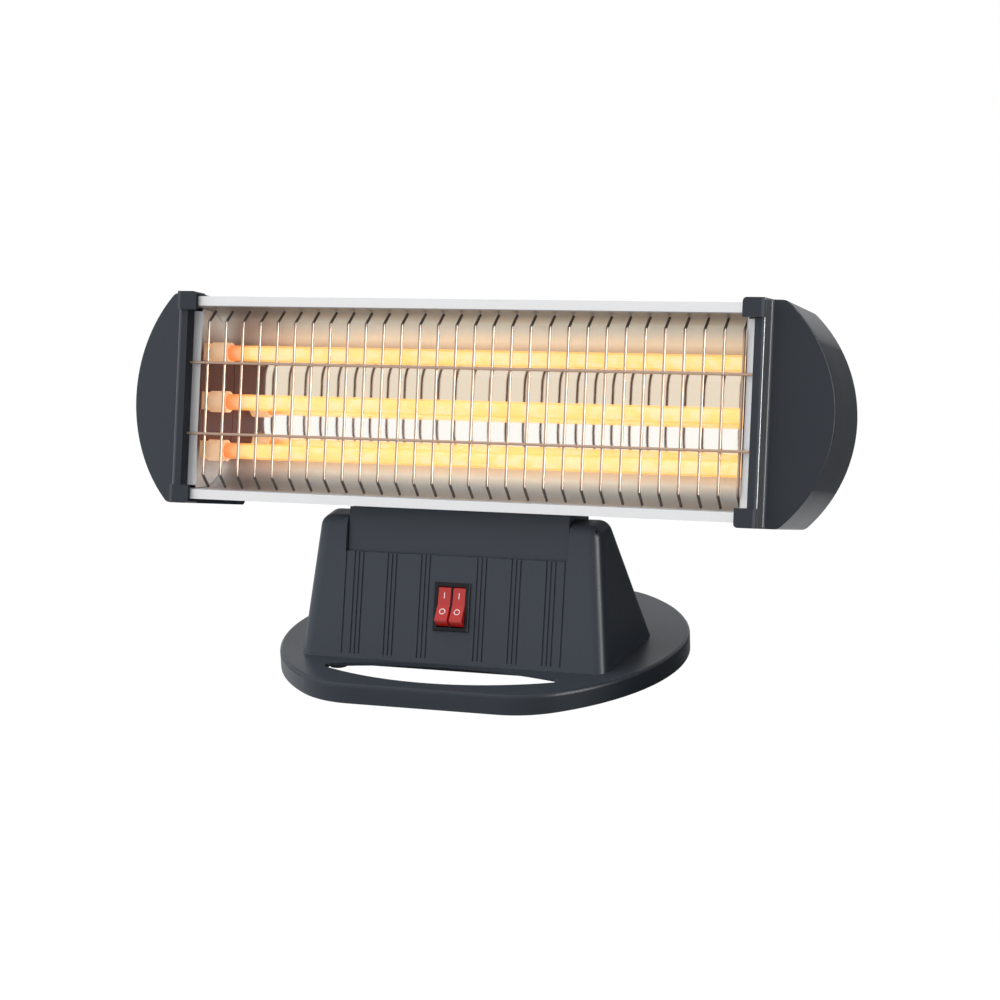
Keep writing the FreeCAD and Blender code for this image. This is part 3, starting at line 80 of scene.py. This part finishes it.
tree.links.new(relief.outputs["Normal"], shader.inputs["Normal"])
sheen = tree.nodes.new("ShaderNodeTexNoise")
sheen.inputs["Scale"].default_value = 14.0
tree.links.new(where.outputs["Object"], sheen.inputs["Vector"])
finish = tree.nodes.new("ShaderNodeMapRange")
finish.inputs["To Min"].default_value = 0.3
finish.inputs["To Max"].default_value = 0.4
tree.links.new(sheen.outputs["Fac"], finish.inputs["Value"])
tree.links.new(finish.outputs["Result"], shader.inputs["Roughness"])
outward = tree.nodes.new("ShaderNodeVectorMath")
outward.operation = "ABSOLUTE"
tree.links.new(where.outputs["Normal"], outward.inputs[0])
split = tree.nodes.new("ShaderNodeSeparateXYZ")
tree.links.new(outward.outputs["Vector"], split.inputs["Vector"])
matt = tree.nodes.new("ShaderNodeMapRange")
matt.inputs["From Min"].default_value = 0.7
matt.inputs["From Max"].default_value = 0.88
matt.inputs["To Min"].default_value = 0.1
matt.inputs["To Max"].default_value = 0.003
tree.links.new(split.outputs["X"], matt.inputs["Value"])
tree.links.new(matt.outputs["Result"], shader.inputs["Specular IOR Level"])
apart = tree.nodes.new("ShaderNodeVectorMath")
apart.operation = "ABSOLUTE"
tree.links.new(where.outputs["Object"], apart.inputs[0])
split = tree.nodes.new("ShaderNodeSeparateXYZ")
tree.links.new(apart.outputs["Vector"], split.inputs["Vector"])
rubbed = tree.nodes.new("ShaderNodeMath")
rubbed.operation = "COMPARE"
rubbed.inputs[1].default_value = ridge_middle
rubbed.inputs[2].default_value = ridge_half_width
tree.links.new(split.outputs["X"], rubbed.inputs[0])
rearward = tree.nodes.new("ShaderNodeVectorMath")
rearward.operation = "DOT_PRODUCT"
rearward.inputs[1].default_value = head_rearward
tree.links.new(where.outputs["Object"], rearward.inputs[0])
forward = tree.nodes.new("ShaderNodeMath")
forward.operation = "LESS_THAN"
forward.inputs[1].default_value = ridge_depth
tree.links.new(rearward.outputs["Value"], forward.inputs[0])
gloss = tree.nodes.new("ShaderNodeMath")
gloss.operation = "MULTIPLY"
tree.links.new(rubbed.outputs["Value"], gloss.inputs[0])
tree.links.new(forward.outputs["Value"], gloss.inputs[1])
tree.links.new(gloss.outputs["Value"], shader.inputs["Coat Weight"])
for name in ("pedestal", "neck_block"):
    nodes[name].material_slots[0].material = plastic

# The base and the end caps get a darker copy of it: painted shade, for parts that lie darker in the
# light.
shaded_copy = plastic.copy()
shaded_copy.name = "plastic_shaded_copy"
shaded_copy.node_tree.nodes["Principled BSDF"].inputs["Base Color"].default_value = (0.043, 0.051, 0.063, 1.0)
for name in ("base_plate", "bottom_cover", "end_cap_left", "end_cap_right"):
    nodes[name].material_slots[0].material = shaded_copy


# Black plastic of the switch frame and the pivot washers.
black = bpy.data.materials.new("black_plastic")
black.use_nodes = True
shader = black.node_tree.nodes["Principled BSDF"]
shader.inputs["Base Color"].default_value = (0.018, 0.02, 0.024, 1.0)
shader.inputs["Specular IOR Level"].default_value = 0.1
shader.inputs["Roughness"].default_value = 0.35
for name in ("switch_frame", "pivot_washers"):
    nodes[name].material_slots[0].material = black


# Rubber feet and cord bush.
rubber = bpy.data.materials.new("soft_rubber")
rubber.use_nodes = True
shader = rubber.node_tree.nodes["Principled BSDF"]
shader.inputs["Base Color"].default_value = (0.014, 0.014, 0.014, 1.0)
shader.inputs["Roughness"].default_value = 0.8
for name in ("rubber_feet", "cord_bush"):
    nodes[name].material_slots[0].material = rubber


# Zinc-plated screws, bolts and pins, and brass switch blades.
zinc = bpy.data.materials.new("zinc_plate")
zinc.use_nodes = True
shader = zinc.node_tree.nodes["Principled BSDF"]
shader.inputs["Base Color"].default_value = (0.55, 0.55, 0.56, 1.0)
shader.inputs["Metallic"].default_value = 1.0
shader.inputs["Roughness"].default_value = 0.35
for name in ("base_screws", "cover_screws", "pivot_bolts", "terminal_pins_left", "terminal_pins_right"):
    nodes[name].material_slots[0].material = zinc

brass = bpy.data.materials.new("plain_brass")
brass.use_nodes = True
shader = brass.node_tree.nodes["Principled BSDF"]
shader.inputs["Base Color"].default_value = (0.68, 0.48, 0.2, 1.0)
shader.inputs["Metallic"].default_value = 1.0
shader.inputs["Roughness"].default_value = 0.3
nodes["switch_terminals"].material_slots[0].material = brass


# Pale enamelled sheet of the housing, whose front flanges show, and of the upright strips beside
# the mouth.
enamel = bpy.data.materials.new("pale_enamel")
enamel.use_nodes = True
shader = enamel.node_tree.nodes["Principled BSDF"]
shader.inputs["Base Color"].default_value = (0.9, 0.905, 0.915, 1.0)
shader.inputs["Roughness"].default_value = 0.35
for name in ("housing", "end_strip_left", "end_strip_right"):
    nodes[name].material_slots[0].material = enamel


# Bright rolled aluminium of the reflector, with faint rolling lines along its length. Its back
# is polished, its sloped sides are satin. Its colour is partly painted light: grey darkening
# towards its mouth is painted shade, a near-white band between the lower and middle tubes is a
# painted reflection of the white surround, the pale blue on the sloped sides is painted to
# cancel the orange light of the tubes, and the beige beside the tubes, most of all above the
# middle one, is heat tint and partly a painted reflection of their glow.
reflector_half_height = 0.06
bright = bpy.data.materials.new("bright_aluminium")
bright.use_nodes = True
tree = bright.node_tree
shader = tree.nodes["Principled BSDF"]
height = tree.nodes.new("ShaderNodeGroup")
height.node_tree = head_height
matt = tree.nodes.new("ShaderNodeMapRange")
matt.inputs["From Min"].default_value = 0.032
matt.inputs["From Max"].default_value = 0.042
matt.inputs["To Min"].default_value = 1.0
matt.inputs["To Max"].default_value = 0.85
tree.links.new(height.outputs["Away"], matt.inputs["Value"])
tree.links.new(matt.outputs["Result"], shader.inputs["Metallic"])
satin = tree.nodes.new("ShaderNodeMapRange")
satin.inputs["From Min"].default_value = 0.026
satin.inputs["From Max"].default_value = 0.036
satin.inputs["To Min"].default_value = 0.05
satin.inputs["To Max"].default_value = 0.38
tree.links.new(height.outputs["Away"], satin.inputs["Value"])
tree.links.new(satin.outputs["Result"], shader.inputs["Roughness"])
across = tree.nodes.new("ShaderNodeMapRange")
across.inputs["From Min"].default_value = -reflector_half_height
across.inputs["From Max"].default_value = reflector_half_height
tree.links.new(height.outputs["Height"], across.inputs["Value"])
# Colours from the lower mouth edge to the upper one: greys at both ends are painted shade, the
# near-white band is a painted reflection, the pale blues are painted against the tubes' orange light.
tint_and_painted_light = tree.nodes.new("ShaderNodeValToRGB")
tint_and_painted_light.color_ramp.elements[0].position = 0.02
tint_and_painted_light.color_ramp.elements[0].color = (0.4, 0.41, 0.43, 1.0)
tint_and_painted_light.color_ramp.elements[1].position = 0.99
tint_and_painted_light.color_ramp.elements[1].color = (0.3, 0.31, 0.33, 1.0)
for place, colour in (
    (0.06, (0.48, 0.54, 0.6, 1.0)), (0.13, (0.84, 0.94, 1.0, 1.0)), (0.2, (0.74, 0.64, 0.55, 1.0)),
    (0.28, (0.98, 0.96, 0.9, 1.0)), (0.46, (0.98, 0.96, 0.9, 1.0)), (0.54, (0.83, 0.71, 0.56, 1.0)),
    (0.7, (0.83, 0.71, 0.56, 1.0)), (0.8, (0.48, 0.43, 0.41, 1.0)), (0.86, (0.86, 0.95, 1.0, 1.0)),
    (0.95, (0.88, 0.98, 1.0, 1.0)),
):
    tint_and_painted_light.color_ramp.elements.new(place).color = colour
tree.links.new(across.outputs["Result"], tint_and_painted_light.inputs["Fac"])
tree.links.new(tint_and_painted_light.outputs["Color"], shader.inputs["Base Color"])
where = tree.nodes.new("ShaderNodeTexCoord")
stretch = tree.nodes.new("ShaderNodeMapping")
stretch.inputs["Scale"].default_value = (12.0, 900.0, 900.0)
tree.links.new(where.outputs["Object"], stretch.inputs["Vector"])
rolling = tree.nodes.new("ShaderNodeTexNoise")
rolling.inputs["Scale"].default_value = 1.0
rolling.inputs["Detail"].default_value = 3.0
tree.links.new(stretch.outputs["Vector"], rolling.inputs["Vector"])
relief = tree.nodes.new("ShaderNodeBump")
relief.inputs["Strength"].default_value = 0.06
relief.inputs["Distance"].default_value = 0.0002
tree.links.new(rolling.outputs["Fac"], relief.inputs["Height"])
tree.links.new(relief.outputs["Normal"], shader.inputs["Normal"])
nodes["reflector"].material_slots[0].material = bright


# End plates of steel, dark red-brown between the tubes and pale towards the edges. A colour
# mix node has its two colours and its result at these sockets.
colour_a, colour_b, mixed = 6, 7, 2
end_steel = bpy.data.materials.new("end_plate_steel")
end_steel.use_nodes = True
tree = end_steel.node_tree
shader = tree.nodes["Principled BSDF"]
shader.inputs["Metallic"].default_value = 0.4
shader.inputs["Roughness"].default_value = 0.4
height = tree.nodes.new("ShaderNodeGroup")
height.node_tree = head_height
towards_edges = tree.nodes.new("ShaderNodeMapRange")
towards_edges.inputs["From Min"].default_value = 0.03
towards_edges.inputs["From Max"].default_value = 0.05
tree.links.new(height.outputs["Away"], towards_edges.inputs["Value"])
shade = tree.nodes.new("ShaderNodeMix")
shade.data_type = "RGBA"
shade.inputs[colour_a].default_value = (0.085, 0.013, 0.009, 1.0)
shade.inputs[colour_b].default_value = (0.72, 0.7, 0.69, 1.0)
tree.links.new(towards_edges.outputs["Result"], shade.inputs["Factor"])
tree.links.new(shade.outputs[mixed], shader.inputs["Base Color"])
for name in ("end_plate_left", "end_plate_right"):
    nodes[name].material_slots[0].material = end_steel


# The tubes are cooler and redder at their left ends. This group gives 0 at those ends and 1
# along the rest of the tubes.
full_heat = bpy.data.node_groups.new("full_heat", "ShaderNodeTree")
full_heat.interface.new_socket("Heat", in_out="OUTPUT", socket_type="NodeSocketFloat")
where = full_heat.nodes.new("ShaderNodeTexCoord")
split = full_heat.nodes.new("ShaderNodeSeparateXYZ")
full_heat.links.new(where.outputs["Object"], split.inputs["Vector"])
rise = full_heat.nodes.new("ShaderNodeMapRange")
rise.interpolation_type = "SMOOTHSTEP"
rise.inputs["From Min"].default_value = -0.172
rise.inputs["From Max"].default_value = -0.15
full_heat.links.new(split.outputs["X"], rise.inputs["Value"])
result = full_heat.nodes.new("NodeGroupOutput")
full_heat.links.new(rise.outputs["Result"], result.inputs["Heat"])


# Resistance winding: a yellow-orange glow, mottled where the turns crowd together.
glow = bpy.data.materials.new("glowing_winding")
glow.use_nodes = True
tree = glow.node_tree
shader = tree.nodes["Principled BSDF"]
shader.inputs["Base Color"].default_value = (0.1, 0.05, 0.02, 1.0)
shader.inputs["Emission Strength"].default_value = 1.3
where = tree.nodes.new("ShaderNodeTexCoord")
turns = tree.nodes.new("ShaderNodeTexNoise")
turns.inputs["Scale"].default_value = 120.0
turns.inputs["Detail"].default_value = 2.0
tree.links.new(where.outputs["Object"], turns.inputs["Vector"])
heat = tree.nodes.new("ShaderNodeValToRGB")
heat.color_ramp.elements[0].position = 0.4
heat.color_ramp.elements[0].color = (1.0, 0.84, 0.36, 1.0)
heat.color_ramp.elements[1].position = 0.6
heat.color_ramp.elements[1].color = (1.0, 1.0, 0.93, 1.0)
tree.links.new(turns.outputs["Fac"], heat.inputs["Fac"])
rise = tree.nodes.new("ShaderNodeGroup")
rise.node_tree = full_heat
shade = tree.nodes.new("ShaderNodeMix")
shade.data_type = "RGBA"
shade.inputs[colour_a].default_value = (0.5, 0.03, 0.004, 1.0)
tree.links.new(rise.outputs["Heat"], shade.inputs["Factor"])
tree.links.new(heat.outputs["Color"], shade.inputs[colour_b])
tree.links.new(shade.outputs[mixed], shader.inputs["Emission Color"])
for name in ("heating_coil_upper", "heating_coil_middle", "heating_coil_lower"):
    nodes[name].material_slots[0].material = glow


# Frosted quartz, mostly clear. Its orange colour and its orange emission are painted glow: the light of
# the winding inside, scattered in the frosted wall.
quartz = bpy.data.materials.new("frosted_quartz")
quartz.use_nodes = True
tree = quartz.node_tree
shader = tree.nodes["Principled BSDF"]
shader.inputs["Base Color"].default_value = (1.0, 0.58, 0.22, 1.0)
shader.inputs["Roughness"].default_value = 0.25
shader.inputs["Alpha"].default_value = 0.5
shader.inputs["Emission Strength"].default_value = 0.55
rise = tree.nodes.new("ShaderNodeGroup")
rise.node_tree = full_heat
shade = tree.nodes.new("ShaderNodeMix")
shade.data_type = "RGBA"
shade.inputs[colour_a].default_value = (0.7, 0.07, 0.01, 1.0)
shade.inputs[colour_b].default_value = (1.0, 0.58, 0.13, 1.0)
tree.links.new(rise.outputs["Heat"], shade.inputs["Factor"])
tree.links.new(shade.outputs[mixed], shader.inputs["Emission Color"])
for name in ("quartz_tube_upper", "quartz_tube_middle", "quartz_tube_lower"):
    nodes[name].material_slots[0].material = quartz


# Unglazed ceramic holders. Their orange colour and their emission are painted light: the glow of the
# tubes falling on them.
ceramic = bpy.data.materials.new("unglazed_ceramic")
ceramic.use_nodes = True
shader = ceramic.node_tree.nodes["Principled BSDF"]
shader.inputs["Base Color"].default_value = (0.95, 0.7, 0.46, 1.0)
shader.inputs["Roughness"].default_value = 0.6
shader.inputs["Emission Color"].default_value = (1.0, 0.55, 0.28, 1.0)
shader.inputs["Emission Strength"].default_value = 0.35
for name in ("tube_holders_left", "tube_holders_right"):
    nodes[name].material_slots[0].material = ceramic


# Plated guard wire. Its colours are painted light: a warm peach in front of the tubes is their
# painted glow, the dull grey where its ends bend back is painted shade, and the side that faces
# the tubes is darkened with painted shade, which draws a dark edge along each wire.
wire = bpy.data.materials.new("plated_wire")
wire.use_nodes = True
tree = wire.node_tree
shader = tree.nodes["Principled BSDF"]
shader.inputs["Metallic"].default_value = 0.4
shader.inputs["Roughness"].default_value = 0.3
height = tree.nodes.new("ShaderNodeGroup")
height.node_tree = head_height
painted_bend_shade = tree.nodes.new("ShaderNodeMapRange")
painted_bend_shade.inputs["From Min"].default_value = 0.044
painted_bend_shade.inputs["From Max"].default_value = 0.0515
tree.links.new(height.outputs["Away"], painted_bend_shade.inputs["Value"])
shade = tree.nodes.new("ShaderNodeMix")
shade.data_type = "RGBA"
shade.inputs[colour_a].default_value = (0.5, 0.35, 0.26, 1.0)
shade.inputs[colour_b].default_value = (0.1, 0.095, 0.095, 1.0)
tree.links.new(painted_bend_shade.outputs["Result"], shade.inputs["Factor"])
where = tree.nodes.new("ShaderNodeTexCoord")
rearward = tree.nodes.new("ShaderNodeVectorMath")
rearward.operation = "DOT_PRODUCT"
rearward.inputs[1].default_value = head_rearward
tree.links.new(where.outputs["Normal"], rearward.inputs[0])
# Painted shade on the side of the wire that faces the tubes.
painted_edge_shade = tree.nodes.new("ShaderNodeMapRange")
painted_edge_shade.inputs["From Min"].default_value = -0.4
painted_edge_shade.inputs["From Max"].default_value = 0.2
tree.links.new(rearward.outputs["Value"], painted_edge_shade.inputs["Value"])
edge_shaded_colour = tree.nodes.new("ShaderNodeMix")
edge_shaded_colour.data_type = "RGBA"
edge_shaded_colour.inputs[colour_b].default_value = (0.05, 0.018, 0.01, 1.0)
tree.links.new(painted_edge_shade.outputs["Result"], edge_shaded_colour.inputs["Factor"])
tree.links.new(shade.outputs[mixed], edge_shaded_colour.inputs[colour_a])
tree.links.new(edge_shaded_colour.outputs[mixed], shader.inputs["Base Color"])
for name in ("guard_uprights", "guard_cross_wires"):
    nodes[name].material_slots[0].material = wire


# Red rockers, lit from inside by their neon.
red = bpy.data.materials.new("red_rocker")
red.use_nodes = True
shader = red.node_tree.nodes["Principled BSDF"]
shader.inputs["Base Color"].default_value = (0.4, 0.012, 0.01, 1.0)
shader.inputs["Roughness"].default_value = 0.2
shader.inputs["Emission Color"].default_value = (1.0, 0.03, 0.02, 1.0)
shader.inputs["Emission Strength"].default_value = 0.1
for name in ("rocker_left", "rocker_right"):
    nodes[name].material_slots[0].material = red


# White I and O printed on each rocker's two facets. Each mark is a thin inlay that stands
# a few hundredths of a millimetre proud.
ink = bpy.data.materials.new("white_ink")
ink.use_nodes = True
shader = ink.node_tree.nodes["Principled BSDF"]
shader.inputs["Base Color"].default_value = (0.85, 0.82, 0.8, 1.0)
shader.inputs["Roughness"].default_value = 0.5
panel_setback, panel_height = 0.0262, 0.086
panel_lean = math.atan2(panel_setback, panel_height)
switch_centre = (0.0, -0.056994, 0.048986)
switch_place = Matrix.Translation(switch_centre) @ Matrix.Rotation(-panel_lean, 4, "X")
pivot_depth, pressed_angle = 0.003, math.radians(15.0)
pivot = Matrix.Translation((0.0, pivot_depth, 0.0))
pressed = pivot @ Matrix.Rotation(-pressed_angle, 4, "X") @ pivot.inverted()
facet_drop, facet_height = 2.2, 10.6
facet_lean = math.atan2(facet_drop, facet_height)
rocker_offset = 0.0049
upper_depth, upper_height = -0.00282, 0.0058
lower_depth, lower_height = -0.00258, -0.0046
bar_width, bar_height = 0.0006, 0.0038
ring_inner, ring_outer, ring_segments = 0.0015, 0.002, 28
mark_thickness = 0.0001
quarter_turn = Matrix.Rotation(math.radians(90.0), 4, "X")
for side, body in ((-1.0, "rocker_left"), (1.0, "rocker_right")):
    shape = bmesh.new()
    upper = Matrix.Translation((side * rocker_offset, upper_depth, upper_height))
    upper = upper @ Matrix.Rotation(facet_lean, 4, "X")
    lower = Matrix.Translation((side * rocker_offset, lower_depth, lower_height))
    lower = lower @ Matrix.Rotation(-facet_lean, 4, "X")
    bar = bmesh.ops.create_cube(shape, size=1.0)["verts"]
    bmesh.ops.scale(shape, vec=(bar_width, mark_thickness, bar_height), verts=bar)
    bmesh.ops.transform(shape, matrix=upper, verts=bar)
    rings = []
    for radius in (ring_inner, ring_outer):
        for depth in (-mark_thickness / 2, mark_thickness / 2):
            circle = bmesh.ops.create_circle(
                shape, cap_ends=False, radius=radius, segments=ring_segments,
                matrix=Matrix.Translation((0.0, depth, 0.0)) @ quarter_turn,
            )
            rings.append(circle["verts"])
    for first, second in ((0, 2), (2, 3), (3, 1), (1, 0)):
        loops = rings[first] + rings[second]
        edges = [edge for edge in shape.edges if all(vert in loops for vert in edge.verts)]
        bmesh.ops.bridge_loops(shape, edges=edges)
    ring = [vert for group in rings for vert in group]
    bmesh.ops.transform(shape, matrix=lower, verts=ring)
    bmesh.ops.transform(shape, matrix=switch_place @ pressed, verts=shape.verts)
    bmesh.ops.recalc_face_normals(shape, faces=shape.faces)
    mesh = bpy.data.meshes.new(body + "_marks")
    shape.to_mesh(mesh)
    shape.free()
    mesh.materials.append(ink)
    marks = bpy.data.objects.new(body + "_marks", mesh)
    bpy.context.scene.collection.objects.link(marks)
    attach(marks, body)


# This group tells rays that see the white surround, straight or by way of metal and glass, from
# rays that only gather its light.
sight = bpy.data.node_groups.new("sight", "ShaderNodeTree")
sight.interface.new_socket("Seen", in_out="OUTPUT", socket_type="NodeSocketFloat")
path = sight.nodes.new("ShaderNodeLightPath")
mirrored = sight.nodes.new("ShaderNodeMath")
mirrored.operation = "MAXIMUM"
sight.links.new(path.outputs["Is Camera Ray"], mirrored.inputs[0])
sight.links.new(path.outputs["Is Glossy Ray"], mirrored.inputs[1])
through = sight.nodes.new("ShaderNodeMath")
through.operation = "MAXIMUM"
sight.links.new(mirrored.outputs["Value"], through.inputs[0])
sight.links.new(path.outputs["Is Transmission Ray"], through.inputs[1])
result = sight.nodes.new("NodeGroupOutput")
sight.links.new(through.outputs["Value"], result.inputs["Seen"])


# Plain white floor that stays white where it is seen.
reach = 4.0
corners = [(-reach, -reach, 0), (reach, -reach, 0), (reach, reach, 0), (-reach, reach, 0)]
mesh = bpy.data.meshes.new("floor")
mesh.from_pydata(corners, [], [(0, 1, 2, 3)])
paper = bpy.data.materials.new("white_paper")
paper.use_nodes = True
tree = paper.node_tree
shader = tree.nodes["Principled BSDF"]
shader.inputs["Base Color"].default_value = (0.28, 0.28, 0.28, 1.0)
shader.inputs["Roughness"].default_value = 0.9
shader.inputs["Specular IOR Level"].default_value = 0.0
white = tree.nodes.new("ShaderNodeEmission")
white.inputs["Strength"].default_value = 1.06
path = tree.nodes.new("ShaderNodeGroup")
path.node_tree = sight
seen = tree.nodes.new("ShaderNodeMath")
seen.operation = "MULTIPLY"
seen.inputs[1].default_value = 0.95
tree.links.new(path.outputs["Seen"], seen.inputs[0])
mix = tree.nodes.new("ShaderNodeMixShader")
tree.links.new(seen.outputs["Value"], mix.inputs["Fac"])
tree.links.new(shader.outputs["BSDF"], mix.inputs[1])
tree.links.new(white.outputs["Emission"], mix.inputs[2])
tree.links.new(mix.outputs["Shader"], tree.nodes["Material Output"].inputs["Surface"])
mesh.materials.append(paper)
floor = bpy.data.objects.new("floor", mesh)
bpy.context.scene.collection.objects.link(floor)


# White surround. It lights the heater mostly from the front left, so that faces turned to the
# right and the back stay dark, with a soft light above.
bright_side = (-0.92, -0.36, 0.14)
world = bpy.data.worlds.new("studio")
bpy.context.scene.world = world
world.use_nodes = True
tree = world.node_tree
backdrop = tree.nodes["Background"]
backdrop.inputs["Color"].default_value = (1.0, 1.0, 1.0, 1.0)
where = tree.nodes.new("ShaderNodeTexCoord")
facing = tree.nodes.new("ShaderNodeVectorMath")
facing.operation = "DOT_PRODUCT"
facing.inputs[1].default_value = bright_side
tree.links.new(where.outputs["Generated"], facing.inputs[0])
studio = tree.nodes.new("ShaderNodeMapRange")
studio.interpolation_type = "SMOOTHSTEP"
studio.inputs["From Min"].default_value = 0.1
studio.inputs["From Max"].default_value = 0.75
studio.inputs["To Min"].default_value = 0.28
studio.inputs["To Max"].default_value = 2.2
tree.links.new(facing.outputs["Value"], studio.inputs["Value"])
path = tree.nodes.new("ShaderNodeGroup")
path.node_tree = sight
level = tree.nodes.new("ShaderNodeMix")
level.inputs["B"].default_value = 1.0
tree.links.new(path.outputs["Seen"], level.inputs["Factor"])
tree.links.new(studio.outputs["Result"], level.inputs["A"])
tree.links.new(level.outputs["Result"], backdrop.inputs["Strength"])

lamp = bpy.data.lights.new("overhead", "AREA")
lamp.shape = "SQUARE"
lamp.size = 1.4
lamp.energy = 7.0
light = bpy.data.objects.new("overhead", lamp)
light.location = (-0.3, 0.2, 2.0)
aim = Vector((0.0, 0.0, 0.12))
light.rotation_euler = (aim - light.location).to_track_quat("-Z", "Y").to_euler()
bpy.context.scene.collection.objects.link(light)

# Narrow upright light on the right, which draws thin bright lines along rounded edges.
lamp = bpy.data.lights.new("side_strip", "AREA")
lamp.shape = "RECTANGLE"
lamp.size = 0.6
lamp.size_y = 2.0
lamp.energy = 160.0
light = bpy.data.objects.new("side_strip", lamp)
light.location = (1.9, -0.74, 0.8)
light.visible_diffuse = False
aim = Vector((0.0, 0.0, 0.15))
light.rotation_euler = (aim - light.location).to_track_quat("-Z", "Y").to_euler()
bpy.context.scene.collection.objects.link(light)


# Camera at the photograph's place.
lens = bpy.data.cameras.new("camera")
lens.lens = 81.0
lens.sensor_width = 36.0
camera = bpy.data.objects.new("camera", lens)
camera.location = (0.4947, -1.32055, 0.45569)
camera.rotation_euler = (1.325837, 0.043765, 0.337664)
bpy.context.scene.collection.objects.link(camera)
bpy.context.scene.camera = camera
bpy.context.scene.view_settings.view_transform = "Standard"
